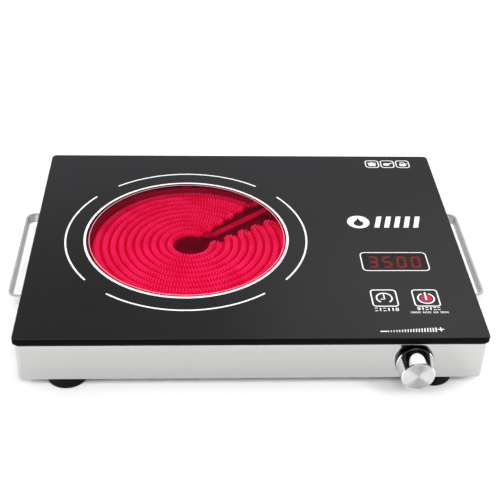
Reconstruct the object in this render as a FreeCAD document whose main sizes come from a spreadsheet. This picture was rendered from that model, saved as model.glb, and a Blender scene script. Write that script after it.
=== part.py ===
import FreeCAD, Part
import math
import os
import Sketcher
from FreeCAD import Placement, Rotation, Vector

# Infrared hot plate burner: a glass panel on a folded steel case, with one round
# radiant heater under the glass, a rotary control knob in front, a display and
# two touch keys under the glass, carrying handles on both sides and four feet.
#
# Millimetres. +X is the user's right, +Y the back, +Z up. The origin is on the
# table, under the middle of the whole object's box.

SIZES = [
    ("centre_y", 4.0),              # middle of the glass, behind the origin
    ("glass_width", 380.0),
    ("glass_depth", 290.0),
    ("glass_thickness", 5.5),
    ("glass_corner", 4.5),
    ("glass_overhang", 1.5),        # glass edge beyond the case wall
    ("seal_thickness", 1.0),
    ("seal_inset", 2.0),
    ("seal_width", 9.0),
    ("case_height", 36.5),
    ("case_wall", 1.0),
    ("case_corner", 4.0),
    ("case_bend", 1.6),             # outside radius of the folds along the edges
    ("case_flange", 12.0),          # inward fold that carries the glass
    ("case_hem", 10.0),             # inward fold that carries the base plate
    ("base_thickness", 1.0),
    ("base_inset", 3.0),
    ("base_screw_inset", 6.0),
    ("foot_height", 12.0),
    ("foot_top_radius", 18.0),
    ("foot_base_radius", 16.5),
    ("foot_inset_x", 37.0),         # foot centre from the side of the case
    ("foot_inset_y", 20.0),         # foot centre from the front of the case
    ("foot_recess_radius", 5.5),
    ("foot_recess_depth", 6.5),
    ("handle_reach", 17.8),         # outer face of the grip from the case
    ("handle_half_length", 65.0),
    ("handle_thickness", 2.5),
    ("handle_height", 9.0),
    ("handle_z", 33.5),             # middle of the grip above the table
    ("handle_bend", 8.0),
    ("handle_tab", 16.0),
    ("handle_tab_bend", 3.0),
    ("handle_tab_inner", 0.5),
    ("handle_edge", 0.5),
    ("heater_x", -50.4),
    ("heater_y", 4.2),
    ("pan_radius", 99.2),
    ("pan_wall", 0.7),
    ("pan_lip", 2.5),
    ("wall_inner_radius", 90.0),
    ("wall_chamfer", 1.2),
    ("insulation_thickness", 10.0),
    ("coil_depth", 9.5),            # coil centre below the top of the glass
    ("coil_thickness", 4.8),        # outside diameter of the wound wire
    ("coil_first_radius", 19.0),
    ("coil_pitch", 7.25),
    ("coil_turns", 10.0),
    ("channel_angle", 40.5),        # direction of the leads, from +X towards +Y
    ("lead_offset", 1.8),
    ("lead_bend", 10.0),
    ("lead_length", 106.0),
    ("return_offset", -12.0),
    ("return_bend", 6.0),
    ("terminal_near", 103.0),
    ("terminal_length", 14.0),
    ("terminal_width", 27.0),
    ("terminal_height", 10.0),
    ("limiter_angle", -20.0),
    ("spring_radius", 70.0),
    ("spring_width", 12.0),
    ("spring_strip", 0.8),
    ("display_x", 127.7),
    ("display_y", -35.0),
    ("display_width", 52.0),
    ("display_depth", 21.0),
    ("display_height", 8.0),
    ("digit_width", 9.0),
    ("digit_depth", 17.8),
    ("digit_pitch", 12.9),
    ("digit_recess", 0.6),
    ("key_y", -87.1),
    ("timer_key_x", 111.4),
    ("power_key_x", 146.5),
    ("touch_pad_radius", 6.0),
    ("board_thickness", 1.6),
    ("board_hole_radius", 1.6),
    ("control_board_width", 76.0),
    ("control_board_depth", 90.0),
    ("control_board_y", -57.0),
    ("power_board_x", 120.0),
    ("power_board_y", 35.0),
    ("power_board_width", 100.0),
    ("power_board_depth", 70.0),
    ("power_board_rise", 8.0),
    ("board_hole_inset", 4.5),
    ("standoff_radius", 3.0),
    ("sink_length", 60.0),
    ("sink_width", 22.0),
    ("sink_height", 18.0),
    ("sink_base", 3.0),
    ("sink_gap", 2.6),
    ("sink_fins", 5.0),
    ("relay_length", 19.0),
    ("relay_width", 15.5),
    ("relay_height", 15.0),
    ("capacitor_length", 18.0),
    ("capacitor_width", 8.5),
    ("capacitor_height", 15.0),
    ("fan_x", 105.0),
    ("fan_y", 104.0),
    ("fan_size", 60.0),
    ("fan_height", 15.0),
    ("fan_corner", 4.0),
    ("fan_bore", 28.5),
    ("fan_hole_pitch", 50.0),
    ("fan_motor_radius", 13.0),
    ("fan_strut_width", 3.0),
    ("fan_strut_height", 2.5),
    ("fan_hub_radius", 12.5),
    ("fan_hub_floor", 1.5),
    ("fan_hub_low", 1.5),
    ("fan_hub_height", 10.0),
    ("fan_blade_radius", 27.4),
    ("fan_blade_thickness", 1.2),
    ("fan_blade_chord", 12.0),
    ("fan_blade_tilt", 38.0),
    ("fan_blades", 7.0),
    ("fan_axle_radius", 1.5),
    ("fan_axle_clearance", 0.05),
    ("fan_bearing_radius", 3.0),
    ("fan_boss_radius", 4.5),
    ("fan_boss_drop", 8.0),
    ("grille_radius", 26.0),
    ("grille_hub_radius", 9.0),
    ("grille_slots", 16.0),
    ("grille_slot_radius", 1.5),
    ("vent_width", 3.0),
    ("vent_height", 18.0),
    ("vent_count", 14.0),
    ("vent_run", 104.0),
    ("vent_x", -150.0),
    ("floor_vent_length", 60.0),
    ("floor_vent_count", 9.0),
    ("floor_vent_run", 112.0),
    ("knob_x", 131.0),
    ("knob_radius", 13.5),          # at the front
    ("knob_back_radius", 15.2),
    ("knob_protrusion", 19.2),      # front of the knob from the case front
    ("knob_gap", 0.5),
    ("knob_rim", 0.9),
    ("knob_rim_radius", 12.6),
    ("knob_face_thickness", 0.8),
    ("knob_face_inset", 0.3),
    ("knob_cavity_radius", 8.6),
    ("knob_cavity_depth", 5.2),
    ("escutcheon_radius", 15.9),
    ("escutcheon_thickness", 3.6),
    ("escutcheon_bore", 8.2),
    ("shaft_radius", 3.0),
    ("shaft_clearance", 0.05),
    ("shaft_flat", 1.5),
    ("bushing_radius", 3.5),
    ("bushing_length", 7.0),
    ("encoder_size", 12.4),
    ("encoder_depth", 6.5),
    ("encoder_nut_width", 10.0),
    ("encoder_nut_height", 2.0),
    ("encoder_board_size", 22.0),
    ("gland_x", 50.0),
    ("gland_protrusion", 11.2),
    ("gland_flange_radius", 9.0),
    ("gland_flange_length", 3.0),
    ("gland_nose_radius", 6.0),
    ("gland_sleeve_radius", 7.0),
    ("gland_sleeve_length", 8.0),
    ("gland_bore_radius", 3.75),
    ("gland_nut_width", 19.0),
    ("gland_nut_height", 4.0),
    ("small_screw_radius", 1.5),
    ("small_head_radius", 2.8),
    ("small_head_height", 1.8),
    ("large_screw_radius", 2.0),
    ("large_head_radius", 4.0),
    ("large_head_height", 2.4),
    ("large_nut_width", 7.0),
    ("large_nut_height", 3.2),
    ("hole_clearance", 0.2),
]

doc = FreeCAD.newDocument("hot_plate_burner")
sheet = doc.addObject("Spreadsheet::Sheet", "dims")
for row, (alias, number) in enumerate(SIZES, start=1):
    sheet.set("A%d" % row, alias)
    sheet.set("B%d" % row, str(number))
    sheet.setAlias("B%d" % row, alias)
doc.recompute()


class Dim:
    """A size: its number and the spreadsheet expression that gives it."""

    def __init__(self, text, number):
        self.text = text
        self.number = number

    def __add__(self, other):
        other = as_dim(other)
        return Dim("(%s + %s)" % (self.text, other.text), self.number + other.number)

    def __sub__(self, other):
        other = as_dim(other)
        return Dim("(%s - %s)" % (self.text, other.text), self.number - other.number)

    def __mul__(self, other):
        other = as_dim(other)
        return Dim("(%s * %s)" % (self.text, other.text), self.number * other.number)

    def __truediv__(self, other):
        other = as_dim(other)
        return Dim("(%s / %s)" % (self.text, other.text), self.number / other.number)

    def __neg__(self):
        return Dim("(0 - %s)" % self.text, -self.number)


def as_dim(size):
    """A plain number becomes a size with a constant expression."""
    if isinstance(size, Dim):
        return size
    return Dim("(%.6f)" % size, float(size))


class Sizes:
    """The sheet's cells as attributes, each one a Dim."""


d = Sizes()
for alias, number in SIZES:
    setattr(d, alias, Dim("dims." + alias, number))

ZERO = as_dim(0.0)

# Levels and outlines that follow from the cells.
base_z = d.foot_height
case_z = base_z + d.base_thickness
inside_z = case_z
case_top_z = case_z + d.case_height
glass_z = case_top_z + d.seal_thickness
top_z = glass_z + d.glass_thickness
mid_z = case_z + d.case_height / 2
case_width = d.glass_width - d.glass_overhang * 2
case_depth = d.glass_depth - d.glass_overhang * 2
case_front_y = d.centre_y - case_depth / 2
case_rear_y = d.centre_y + case_depth / 2
coil_z = top_z - d.coil_depth
floor_z = coil_z - d.coil_thickness / 2
pan_z = floor_z - d.insulation_thickness - d.pan_wall
pan_top_z = glass_z - 1

PARTS = []


def bind(obj, **sizes):
    """Bind an object's properties to the sheet."""
    for name, size in sizes.items():
        obj.setExpression(name, as_dim(size).text)


def move(obj, x=ZERO, y=ZERO, z=ZERO):
    """Bind an object's place to the sheet."""
    for axis, size in (("x", x), ("y", y), ("z", z)):
        obj.setExpression("Placement.Base." + axis, as_dim(size).text)


def keep(obj, label):
    """Name an object and list it as a sub-part."""
    obj.Label = label
    PARTS.append(obj)
    return obj


# ---------------------------------------------------------------- PartDesign helpers


def new_body(label, x=ZERO, y=ZERO, z=ZERO, turn=None):
    body = doc.addObject("PartDesign::Body", label)
    if turn is not None:
        body.Placement = Placement(Vector(), turn)
    move(body, x, y, z)
    return keep(body, label)


def new_sketch(body, name, plane="XY", x=ZERO, y=ZERO, lift=ZERO, turn=None):
    """A sketch on one of the body's own origin planes, shifted in and off it."""
    sketch = body.newObject("Sketcher::SketchObject", body.Label + "_" + name)
    origin = [f for f in body.Origin.OriginFeatures if f.Role == plane + "_Plane"][0]
    sketch.AttachmentSupport = [(origin, "")]
    sketch.MapMode = "FlatFace"
    if turn is not None:
        sketch.AttachmentOffset = Placement(Vector(), Rotation(Vector(0, 0, 1), turn.number))
    for axis, size in (("x", x), ("y", y), ("z", lift)):
        sketch.setExpression("AttachmentOffset.Base." + axis, as_dim(size).text)
    return sketch


def constrain(sketch, size, *constraint):
    """Add a dimension and bind it to the sheet."""
    index = sketch.addConstraint(Sketcher.Constraint(*constraint, size.number))
    sketch.setExpression("Constraints[%d]" % index, size.text)


def hold(sketch, geometry, point, x, y):
    """Hold a point at signed distances from the sketch's origin."""
    for kind, axis, size in (("DistanceX", -2, x), ("DistanceY", -1, y)):
        if abs(size.number) < 1e-9:
            on_axis = Sketcher.Constraint("PointOnObject", geometry, point, axis)
            sketch.addConstraint(on_axis)
        elif size.number > 0:
            constrain(sketch, size, kind, -1, 1, geometry, point)
        else:
            constrain(sketch, -size, kind, geometry, point, -1, 1)


def circle(sketch, x, y, radius):
    x, y, radius = as_dim(x), as_dim(y), as_dim(radius)
    centre = Vector(x.number, y.number, 0)
    index = sketch.addGeometry(Part.Circle(centre, Vector(0, 0, 1), radius.number))
    hold(sketch, index, 3, x, y)
    constrain(sketch, radius, "Radius", index)


def outline(sketch, corners):
    """A closed outline of (x, y, radius) corners; a round corner joins edges along X and Y."""
    corners = [tuple(as_dim(size) for size in corner) for corner in corners]
    count = len(corners)
    entries = []
    for index, (x, y, radius) in enumerate(corners):
        here = Vector(x.number, y.number, 0)
        if radius.number == 0:
            entries.append((here, here, None, None))
            continue
        before, after = corners[index - 1], corners[(index + 1) % count]
        to_before = (Vector(before[0].number, before[1].number, 0) - here).normalize()
        to_after = (Vector(after[0].number, after[1].number, 0) - here).normalize()
        inward = to_before + to_after
        centre = (x + radius * round(inward.x), y + radius * round(inward.y))
        start = here + to_before * radius.number
        end = here + to_after * radius.number
        middle = Vector(centre[0].number, centre[1].number, 0)
        middle = middle - (to_before + to_after).normalize() * radius.number
        arc = Part.Arc(start, middle, end)
        entries.append((start, end, arc, centre))
    lines = []
    for index in range(count):
        start = entries[index][1]
        end = entries[(index + 1) % count][0]
        lines.append(sketch.addGeometry(Part.LineSegment(start, end)))
    for index in range(count):
        line_in, line_out = lines[index - 1], lines[index]
        x, y, radius = corners[index]
        arc, centre = entries[index][2], entries[index][3]
        if arc is None:
            sketch.addConstraint(Sketcher.Constraint("Coincident", line_in, 2, line_out, 1))
            hold(sketch, line_out, 1, x, y)
            continue
        arc_index = sketch.addGeometry(arc)
        near = sketch.getPoint(arc_index, 1).distanceToPoint(entries[index][0]) < 1e-6
        first, second = (1, 2) if near else (2, 1)
        sketch.addConstraint(Sketcher.Constraint("Tangent", line_in, 2, arc_index, first))
        sketch.addConstraint(Sketcher.Constraint("Tangent", arc_index, second, line_out, 1))
        hold(sketch, arc_index, 3, *centre)
        constrain(sketch, radius, "Radius", arc_index)


def rectangle(sketch, width, depth, radius=ZERO, x=ZERO, y=ZERO):
    """A rectangle about (x, y), with round corners where radius isn't zero."""
    x, y = as_dim(x), as_dim(y)
    half_x, half_y = as_dim(width) / 2, as_dim(depth) / 2
    outline(sketch, [
        (x - half_x, y - half_y, radius),
        (x + half_x, y - half_y, radius),
        (x + half_x, y + half_y, radius),
        (x - half_x, y + half_y, radius),
    ])


def polygon(sketch, points):
    outline(sketch, [(x, y, ZERO) for x, y in points])


def hexagon(sketch, flats):
    """A hexagon about the sketch's origin, from its width across flats."""
    corner = as_dim(flats) / (2 * math.cos(math.radians(30)))
    points = []
    for index in range(6):
        angle = math.radians(60 * index)
        points.append((corner * math.cos(angle), corner * math.sin(angle)))
    polygon(sketch, points)


def slot(sketch, x_start, x_end, y, radius):
    """A slot along X with round ends."""
    x_start, x_end, y, radius = as_dim(x_start), as_dim(x_end), as_dim(y), as_dim(radius)
    up = Vector(0, radius.number, 0)
    out = Vector(radius.number, 0, 0)
    left = Vector(x_start.number, y.number, 0)
    right = Vector(x_end.number, y.number, 0)
    top = sketch.addGeometry(Part.LineSegment(right + up, left + up))
    low = sketch.addGeometry(Part.LineSegment(left - up, right - up))
    arc_left = sketch.addGeometry(Part.Arc(left + up, left - out, left - up))
    arc_right = sketch.addGeometry(Part.Arc(right - up, right + out, right + up))
    for line, end, arc, arc_end in ((top, 2, arc_left, 1), (low, 1, arc_left, 2),
                                    (low, 2, arc_right, 1), (top, 1, arc_right, 2)):
        sketch.addConstraint(Sketcher.Constraint("Tangent", line, end, arc, arc_end))
    hold(sketch, arc_left, 3, x_start, y)
    hold(sketch, arc_right, 3, x_end, y)
    constrain(sketch, radius, "Radius", arc_left)
    constrain(sketch, radius, "Radius", arc_right)


def body_volume(body):
    doc.recompute()
    return body.Shape.Volume


def pad(body, sketch, length, back=False):
    feature = body.newObject("PartDesign::Pad", sketch.Name + "_pad")
    feature.Profile = sketch
    feature.Reversed = back
    bind(feature, Length=length)
    doc.recompute()
    sketch.Visibility = False
    return feature


def pocket(body, sketch, length=None, back=False):
    """Cut a sketch out of a body, through all of it where no length is given."""
    before = body_volume(body)
    feature = body.newObject("PartDesign::Pocket", sketch.Name + "_pocket")
    feature.Profile = sketch
    feature.Reversed = back
    if length is None:
        feature.Type = "ThroughAll"
    else:
        bind(feature, Length=length)
    if body_volume(body) > before - 1e-3:
        raise ValueError("%s cuts nothing" % feature.Name)
    return feature


def revolve(body, sketch, cut=False):
    """Turn a sketch round its own vertical axis."""
    kind = "PartDesign::Groove" if cut else "PartDesign::Revolution"
    feature = body.newObject(kind, sketch.Name + "_turned")
    feature.Profile = sketch
    feature.ReferenceAxis = (sketch, ["V_Axis"])
    feature.Angle = 360.0
    doc.recompute()
    return feature


def pattern(body, feature, kind, reference, count, **extent):
    """Repeat a feature and make the pattern the body's tip."""
    before = body_volume(body)
    repeat = body.newObject("PartDesign::" + kind, feature.Name + "_pattern")
    repeat.Originals = [feature]
    if kind == "LinearPattern":
        repeat.Direction = reference
    else:
        repeat.Axis = reference
    bind(repeat, Occurrences=count, **extent)
    body.Tip = repeat
    if abs(body_volume(body) - before) < 1e-3:
        raise ValueError("%s changes nothing" % repeat.Name)
    return repeat


def dress(body, kind, pick, size):
    """Fillet or chamfer the edges of the body that pick chooses."""
    doc.recompute()
    base = body.Tip
    names = []
    for index, edge in enumerate(base.Shape.Edges, start=1):
        if pick(edge):
            names.append("Edge%d" % index)
    feature = body.newObject("PartDesign::" + kind, body.Label + "_" + kind.lower())
    feature.Base = (base, names)
    bind(feature, **{"Radius" if kind == "Fillet" else "Size": size})
    doc.recompute()
    return feature


def flat_at(level):
    """Chooses the edges that lie in one level plane."""
    number = as_dim(level).number

    def pick(edge):
        box = edge.BoundBox
        return abs(box.ZMin - number) < 1e-4 and abs(box.ZMax - number) < 1e-4
    return pick


# ------------------------------------------------------------------- Part helpers

AXES = {
    "+X": Rotation(Vector(0, 1, 0), 90),
    "-X": Rotation(Vector(0, 1, 0), -90),
    "+Y": Rotation(Vector(1, 0, 0), -90),
    "-Y": Rotation(Vector(1, 0, 0), 90),
    "+Z": Rotation(),
    "-Z": Rotation(Vector(1, 0, 0), 180),
}


def cylinder(name, radius, height, x=ZERO, y=ZERO, z=ZERO):
    obj = doc.addObject("Part::Cylinder", name)
    bind(obj, Radius=radius, Height=height)
    move(obj, x, y, z)
    return obj


def block(name, length, width, height, x=ZERO, y=ZERO, z=ZERO):
    """A box centred on x and y that stands on z."""
    obj = doc.addObject("Part::Box", name)
    bind(obj, Length=length, Width=width, Height=height)
    move(obj, as_dim(x) - as_dim(length) / 2, as_dim(y) - as_dim(width) / 2, z)
    return obj


def fuse(name, shapes):
    obj = doc.addObject("Part::MultiFuse", name)
    obj.Shapes = shapes
    return obj


def cut(name, base, tool):
    obj = doc.addObject("Part::Cut", name)
    obj.Base = base
    obj.Tool = tool
    return obj


def pan_head_screw(name, radius, length, head_radius, head_height):
    """A cross-recessed screw along -Z from the underside of its head at the origin."""
    shank = cylinder(name + "_shank", radius, length, z=-as_dim(length))
    head = cylinder(name + "_head", head_radius, head_height)
    doc.recompute()
    dome = doc.addObject("Part::Fillet", name + "_dome")
    dome.Base = head
    round_edge = [i for i, e in enumerate(head.Shape.Edges, start=1) if flat_at(head_height)(e)]
    size = head_height.number * 0.55
    dome.Edges = [(index, size, size) for index in round_edge]
    body = fuse(name + "_solid", [dome, shank])
    arm = head_radius * 1.1
    blade = head_radius * 0.24
    depth = head_height * 0.6
    recess_z = head_height - depth
    across = block(name + "_slot_x", arm, blade, head_height, z=recess_z)
    along = block(name + "_slot_y", blade, arm, head_height, z=recess_z)
    return cut(name, body, fuse(name + "_recess", [across, along]))


def fastener_group(label, make, places):
    """One node of identical fasteners; each place is (x, y, z, direction of its +Z)."""
    pieces = []
    for index, (x, y, z, axis) in enumerate(places):
        piece = make("%s_%d" % (label, index + 1))
        piece.Placement = Placement(Vector(), AXES[axis])
        move(piece, x, y, z)
        pieces.append(piece)
    group = doc.addObject("Part::Compound", label)
    group.Links = pieces
    return keep(group, label)


def small_screw(length):
    return lambda name: pan_head_screw(name, d.small_screw_radius, length,
                                       d.small_head_radius, d.small_head_height)


def large_screw(length):
    return lambda name: pan_head_screw(name, d.large_screw_radius, length,
                                       d.large_head_radius, d.large_head_height)


def large_nut(name):
    """A hexagon nut that stands on its place along +Z."""
    prism = doc.addObject("Part::Prism", name + "_prism")
    prism.Polygon = 6
    bind(prism, Circumradius=d.large_nut_width / (2 * math.cos(math.radians(30))),
         Height=d.large_nut_height)
    hole = cylinder(name + "_hole", d.large_screw_radius, d.large_nut_height)
    return cut(name, prism, hole)


def standoff(height):
    def make(name):
        post = cylinder(name + "_post", d.standoff_radius, height)
        hole = cylinder(name + "_thread", d.small_screw_radius, height)
        return cut(name, post, hole)
    return make


# --------------------------------------------------------------------- the outside


def make_glass():
    body = new_body("glass_panel", y=d.centre_y, z=glass_z)
    sketch = new_sketch(body, "plan")
    rectangle(sketch, d.glass_width, d.glass_depth, d.glass_corner)
    pad(body, sketch, d.glass_thickness)
    dress(body, "Fillet", flat_at(d.glass_thickness), 0.9)
    dress(body, "Chamfer", flat_at(0), 0.4)


def make_seal():
    body = new_body("glass_seal", y=d.centre_y, z=case_top_z)
    width = case_width - d.seal_inset * 2
    depth = case_depth - d.seal_inset * 2
    sketch = new_sketch(body, "frame")
    rectangle(sketch, width, depth, d.case_corner)
    rectangle(sketch, width - d.seal_width * 2, depth - d.seal_width * 2, d.case_corner)
    pad(body, sketch, d.seal_thickness)


def hem_screw_places():
    """Base screws in the case's lower fold: (x, y) about the case's middle."""
    x = case_width / 2 - d.base_screw_inset
    y = case_depth / 2 - d.base_screw_inset
    long_x = case_width * 0.27
    places = []
    for side in (-1, 1):
        places.append((-long_x, y * side))
        places.append((long_x, y * side))
        places.append((x * side, -y * 0.55))
        places.append((x * side, y * 0.55))
    return places


def handle_hole_y():
    return d.handle_half_length - d.handle_tab / 2 - d.handle_thickness / 2


def make_case():
    body = new_body("case", y=d.centre_y, z=case_z)
    wall = d.case_wall
    plan = new_sketch(body, "plan")
    rectangle(plan, case_width, case_depth, d.case_corner)
    pad(body, plan, d.case_height)
    top, bottom = flat_at(d.case_height), flat_at(0)
    dress(body, "Fillet", lambda edge: top(edge) or bottom(edge), d.case_bend)

    cavity = new_sketch(body, "cavity", lift=wall)
    rectangle(cavity, case_width - wall * 2, case_depth - wall * 2, d.case_corner - wall)
    pocket(body, cavity, d.case_height - wall * 2, back=True)

    opening = new_sketch(body, "opening", lift=d.case_height)
    rectangle(opening, case_width - d.case_flange * 2, case_depth - d.case_flange * 2,
              d.case_corner)
    pocket(body, opening, wall * 2)

    under = new_sketch(body, "under")
    rectangle(under, case_width - d.case_hem * 2, case_depth - d.case_hem * 2, d.case_corner)
    for x, y in hem_screw_places():
        circle(under, x, y, d.small_screw_radius)
    pocket(body, under, wall * 2, back=True)

    middle = d.case_height / 2
    front = new_sketch(body, "front", "XZ", lift=case_depth / 2)
    circle(front, d.knob_x, middle, d.bushing_radius + d.hole_clearance)
    pocket(body, front, wall * 2)

    sides = new_sketch(body, "sides", "YZ", lift=case_width / 2)
    for side in (-1, 1):
        circle(sides, handle_hole_y() * side, d.handle_z - case_z, d.large_screw_radius + d.hole_clearance)
    pocket(body, sides)

    rear = new_sketch(body, "rear", "XZ", lift=-case_depth / 2)
    circle(rear, d.gland_x, middle, d.gland_sleeve_radius + d.hole_clearance)
    pocket(body, rear, wall * 2, back=True)

    vent = new_sketch(body, "vent", "XZ", lift=-case_depth / 2)
    rectangle(vent, d.vent_width, d.vent_height, d.vent_width * 0.45, d.vent_x, middle)
    first = pocket(body, vent, wall * 2, back=True)
    pattern(body, first, "LinearPattern", (vent, ["H_Axis"]), d.vent_count, Length=d.vent_run)


def foot_places():
    x = case_width / 2 - d.foot_inset_x
    front = case_front_y + d.foot_inset_y
    rear = case_rear_y - d.foot_inset_y
    return {
        "front_left_foot": (-x, front),
        "front_right_foot": (x, front),
        "rear_left_foot": (-x, rear),
        "rear_right_foot": (x, rear),
    }


def board_hole_places(width, depth):
    x = width / 2 - d.board_hole_inset
    y = depth / 2 - d.board_hole_inset
    return [(-x, -y), (x, -y), (x, y), (-x, y)]


def control_board_holes():
    places = board_hole_places(d.control_board_width, d.control_board_depth)
    return [(d.display_x + x, d.control_board_y + y) for x, y in places]


def power_board_holes():
    places = board_hole_places(d.power_board_width, d.power_board_depth)
    return [(d.power_board_x + x, d.power_board_y + y) for x, y in places]


def make_base_plate():
    body = new_body("base_plate", z=base_z)
    plan = new_sketch(body, "plan", y=d.centre_y)
    width = case_width - d.base_inset * 2
    rectangle(plan, width, case_depth - d.base_inset * 2, d.case_corner)
    pad(body, plan, d.base_thickness)

    holes = new_sketch(body, "holes", lift=d.base_thickness)
    for x, y in foot_places().values():
        circle(holes, x, y, d.large_screw_radius + d.hole_clearance)
    for x, y in hem_screw_places():
        circle(holes, x, d.centre_y + y, d.small_screw_radius + d.hole_clearance)
    for x, y in control_board_holes() + power_board_holes():
        circle(holes, x, y, d.small_screw_radius)
    pocket(body, holes)

    grille = new_sketch(body, "grille", x=d.fan_x, y=d.fan_y, lift=d.base_thickness)
    slot(grille, d.grille_hub_radius, d.grille_radius, ZERO, d.grille_slot_radius)
    first = pocket(body, grille)
    pattern(body, first, "PolarPattern", (grille, ["N_Axis"]), d.grille_slots, Angle=360)

    vents = new_sketch(body, "vents", lift=d.base_thickness)
    start_x = d.heater_x - d.floor_vent_length / 2
    slot(vents, start_x, start_x + d.floor_vent_length, d.heater_y - d.floor_vent_run / 2,
         d.vent_width / 2)
    first = pocket(body, vents)
    pattern(body, first, "LinearPattern", (vents, ["V_Axis"]), d.floor_vent_count,
            Length=d.floor_vent_run)


def make_feet():
    for label, (x, y) in foot_places().items():
        body = new_body(label, x, y)
        profile = new_sketch(body, "profile", "XZ")
        hole = d.large_screw_radius + d.hole_clearance
        recess = d.foot_recess_radius
        polygon(profile, [
            (recess, ZERO),
            (d.foot_base_radius - 1, ZERO),
            (d.foot_base_radius, as_dim(1.0)),
            (d.foot_top_radius, d.foot_height),
            (hole, d.foot_height),
            (hole, d.foot_recess_depth),
            (recess, d.foot_recess_depth),
        ])
        revolve(body, profile)


def make_handles():
    """Each handle is one strip bent to a U, with a tab at each end for its screw."""
    reach, half, strip = d.handle_reach, d.handle_half_length, d.handle_thickness
    tab, bend, inner = d.handle_tab, d.handle_bend, d.handle_tab_inner
    for label, side in (("right_handle", 1), ("left_handle", -1)):
        turn = Rotation(Vector(0, 0, 1), 0 if side > 0 else 180)
        body = new_body(label, case_width / 2 * side, d.centre_y, d.handle_z, turn)
        strip_plan = new_sketch(body, "strip", lift=-d.handle_height / 2)
        outline(strip_plan, [
            (ZERO, -half, d.handle_tab_bend),
            (reach, -half, bend),
            (reach, half, bend),
            (ZERO, half, d.handle_tab_bend),
            (ZERO, half - tab, ZERO),
            (strip, half - tab, ZERO),
            (strip, half - strip, inner),
            (reach - strip, half - strip, bend - strip),
            (reach - strip, strip - half, bend - strip),
            (strip, strip - half, inner),
            (strip, tab - half, ZERO),
            (ZERO, tab - half, ZERO),
        ])
        pad(body, strip_plan, d.handle_height)
        holes = new_sketch(body, "holes", "YZ", lift=strip)
        for end in (-1, 1):
            circle(holes, handle_hole_y() * end, ZERO, d.large_screw_radius + d.hole_clearance)
        pocket(body, holes, strip)
        high, low = flat_at(d.handle_height / 2), flat_at(-d.handle_height / 2)
        limit = handle_hole_y().number + d.handle_tab.number / 2 - 3
        longest = reach.number * 2
        dress(body, "Fillet",
              lambda edge: (high(edge) or low(edge)) and edge.Length > longest, d.handle_edge)


def make_outside_fasteners():
    foot_screw_z = d.foot_recess_depth
    feet = foot_places().values()
    fastener_group("foot_screws", large_screw(as_dim(11.0)),
                   [(x, y, foot_screw_z, "-Z") for x, y in feet])
    fastener_group("foot_nuts", large_nut, [(x, y, case_z, "+Z") for x, y in feet])

    hem = [(x, d.centre_y + y, base_z, "-Z") for x, y in hem_screw_places()]
    fastener_group("base_screws", small_screw(as_dim(4.0)), hem)

    screws, nuts = [], []
    for side, outward, inward in ((1, "+X", "-X"), (-1, "-X", "+X")):
        face = case_width / 2 * side
        for end in (-1, 1):
            y = d.centre_y + handle_hole_y() * end
            screws.append((face + d.handle_thickness * side, y, d.handle_z, outward))
            nuts.append((face - d.case_wall * side, y, d.handle_z, inward))
    fastener_group("handle_screws", large_screw(as_dim(8.0)), screws)
    fastener_group("handle_nuts", large_nut, nuts)


# ---------------------------------------------------------------------- the heater


def lead_notch(body, height_from, lift):
    """Cut the way through a round wall for the two coil leads."""
    notch = new_sketch(body, "notch", lift=lift, turn=d.channel_angle)
    margin = d.coil_thickness / 2 + 0.6
    y_low = -d.lead_offset - margin
    y_high = -d.return_offset + margin
    near = d.wall_inner_radius * 0.9
    far = d.pan_radius + 5
    polygon(notch, [(near, y_low), (far, y_low), (far, y_high), (near, y_high)])
    pocket(body, notch, height_from, back=True)


def make_pan():
    body = new_body("heater_pan", d.heater_x, d.heater_y, pan_z)
    profile = new_sketch(body, "profile", "XZ")
    outer, wall = d.pan_radius, d.pan_wall
    height = pan_top_z - pan_z
    lip = outer + d.pan_lip
    polygon(profile, [
        (ZERO, ZERO),
        (outer - 2, ZERO),
        (outer, as_dim(2.0)),
        (outer, height - wall),
        (lip, height - wall),
        (lip, height),
        (outer - wall, height),
        (outer - wall, as_dim(2.0) + wall / 2),
        (outer - 2 - wall / 2, wall),
        (ZERO, wall),
    ])
    revolve(body, profile)
    lead_notch(body, height, floor_z - pan_z)


def make_insulation():
    base = new_body("insulation_base", d.heater_x, d.heater_y, pan_z + d.pan_wall)
    profile = new_sketch(base, "profile", "XZ")
    outer = d.pan_radius - d.pan_wall
    polygon(profile, [
        (ZERO, ZERO),
        (outer - 2.4, ZERO),
        (outer, as_dim(2.4)),
        (outer, d.insulation_thickness),
        (ZERO, d.insulation_thickness),
    ])
    revolve(base, profile)

    ring = new_body("insulation_ring", d.heater_x, d.heater_y, floor_z)
    plan = new_sketch(ring, "plan")
    height = glass_z - floor_z
    circle(plan, ZERO, ZERO, outer)
    circle(plan, ZERO, ZERO, d.wall_inner_radius)
    pad(ring, plan, height)
    top = flat_at(height)
    inner_length = 2 * math.pi * d.wall_inner_radius.number
    dress(ring, "Chamfer", lambda e: top(e) and abs(e.Length - inner_length) < 1, d.wall_chamfer)
    lead_notch(ring, height, ZERO)


def polar(radius, degrees):
    angle = math.radians(degrees)
    return Vector(radius * math.cos(angle), radius * math.sin(angle), 0)


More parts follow.
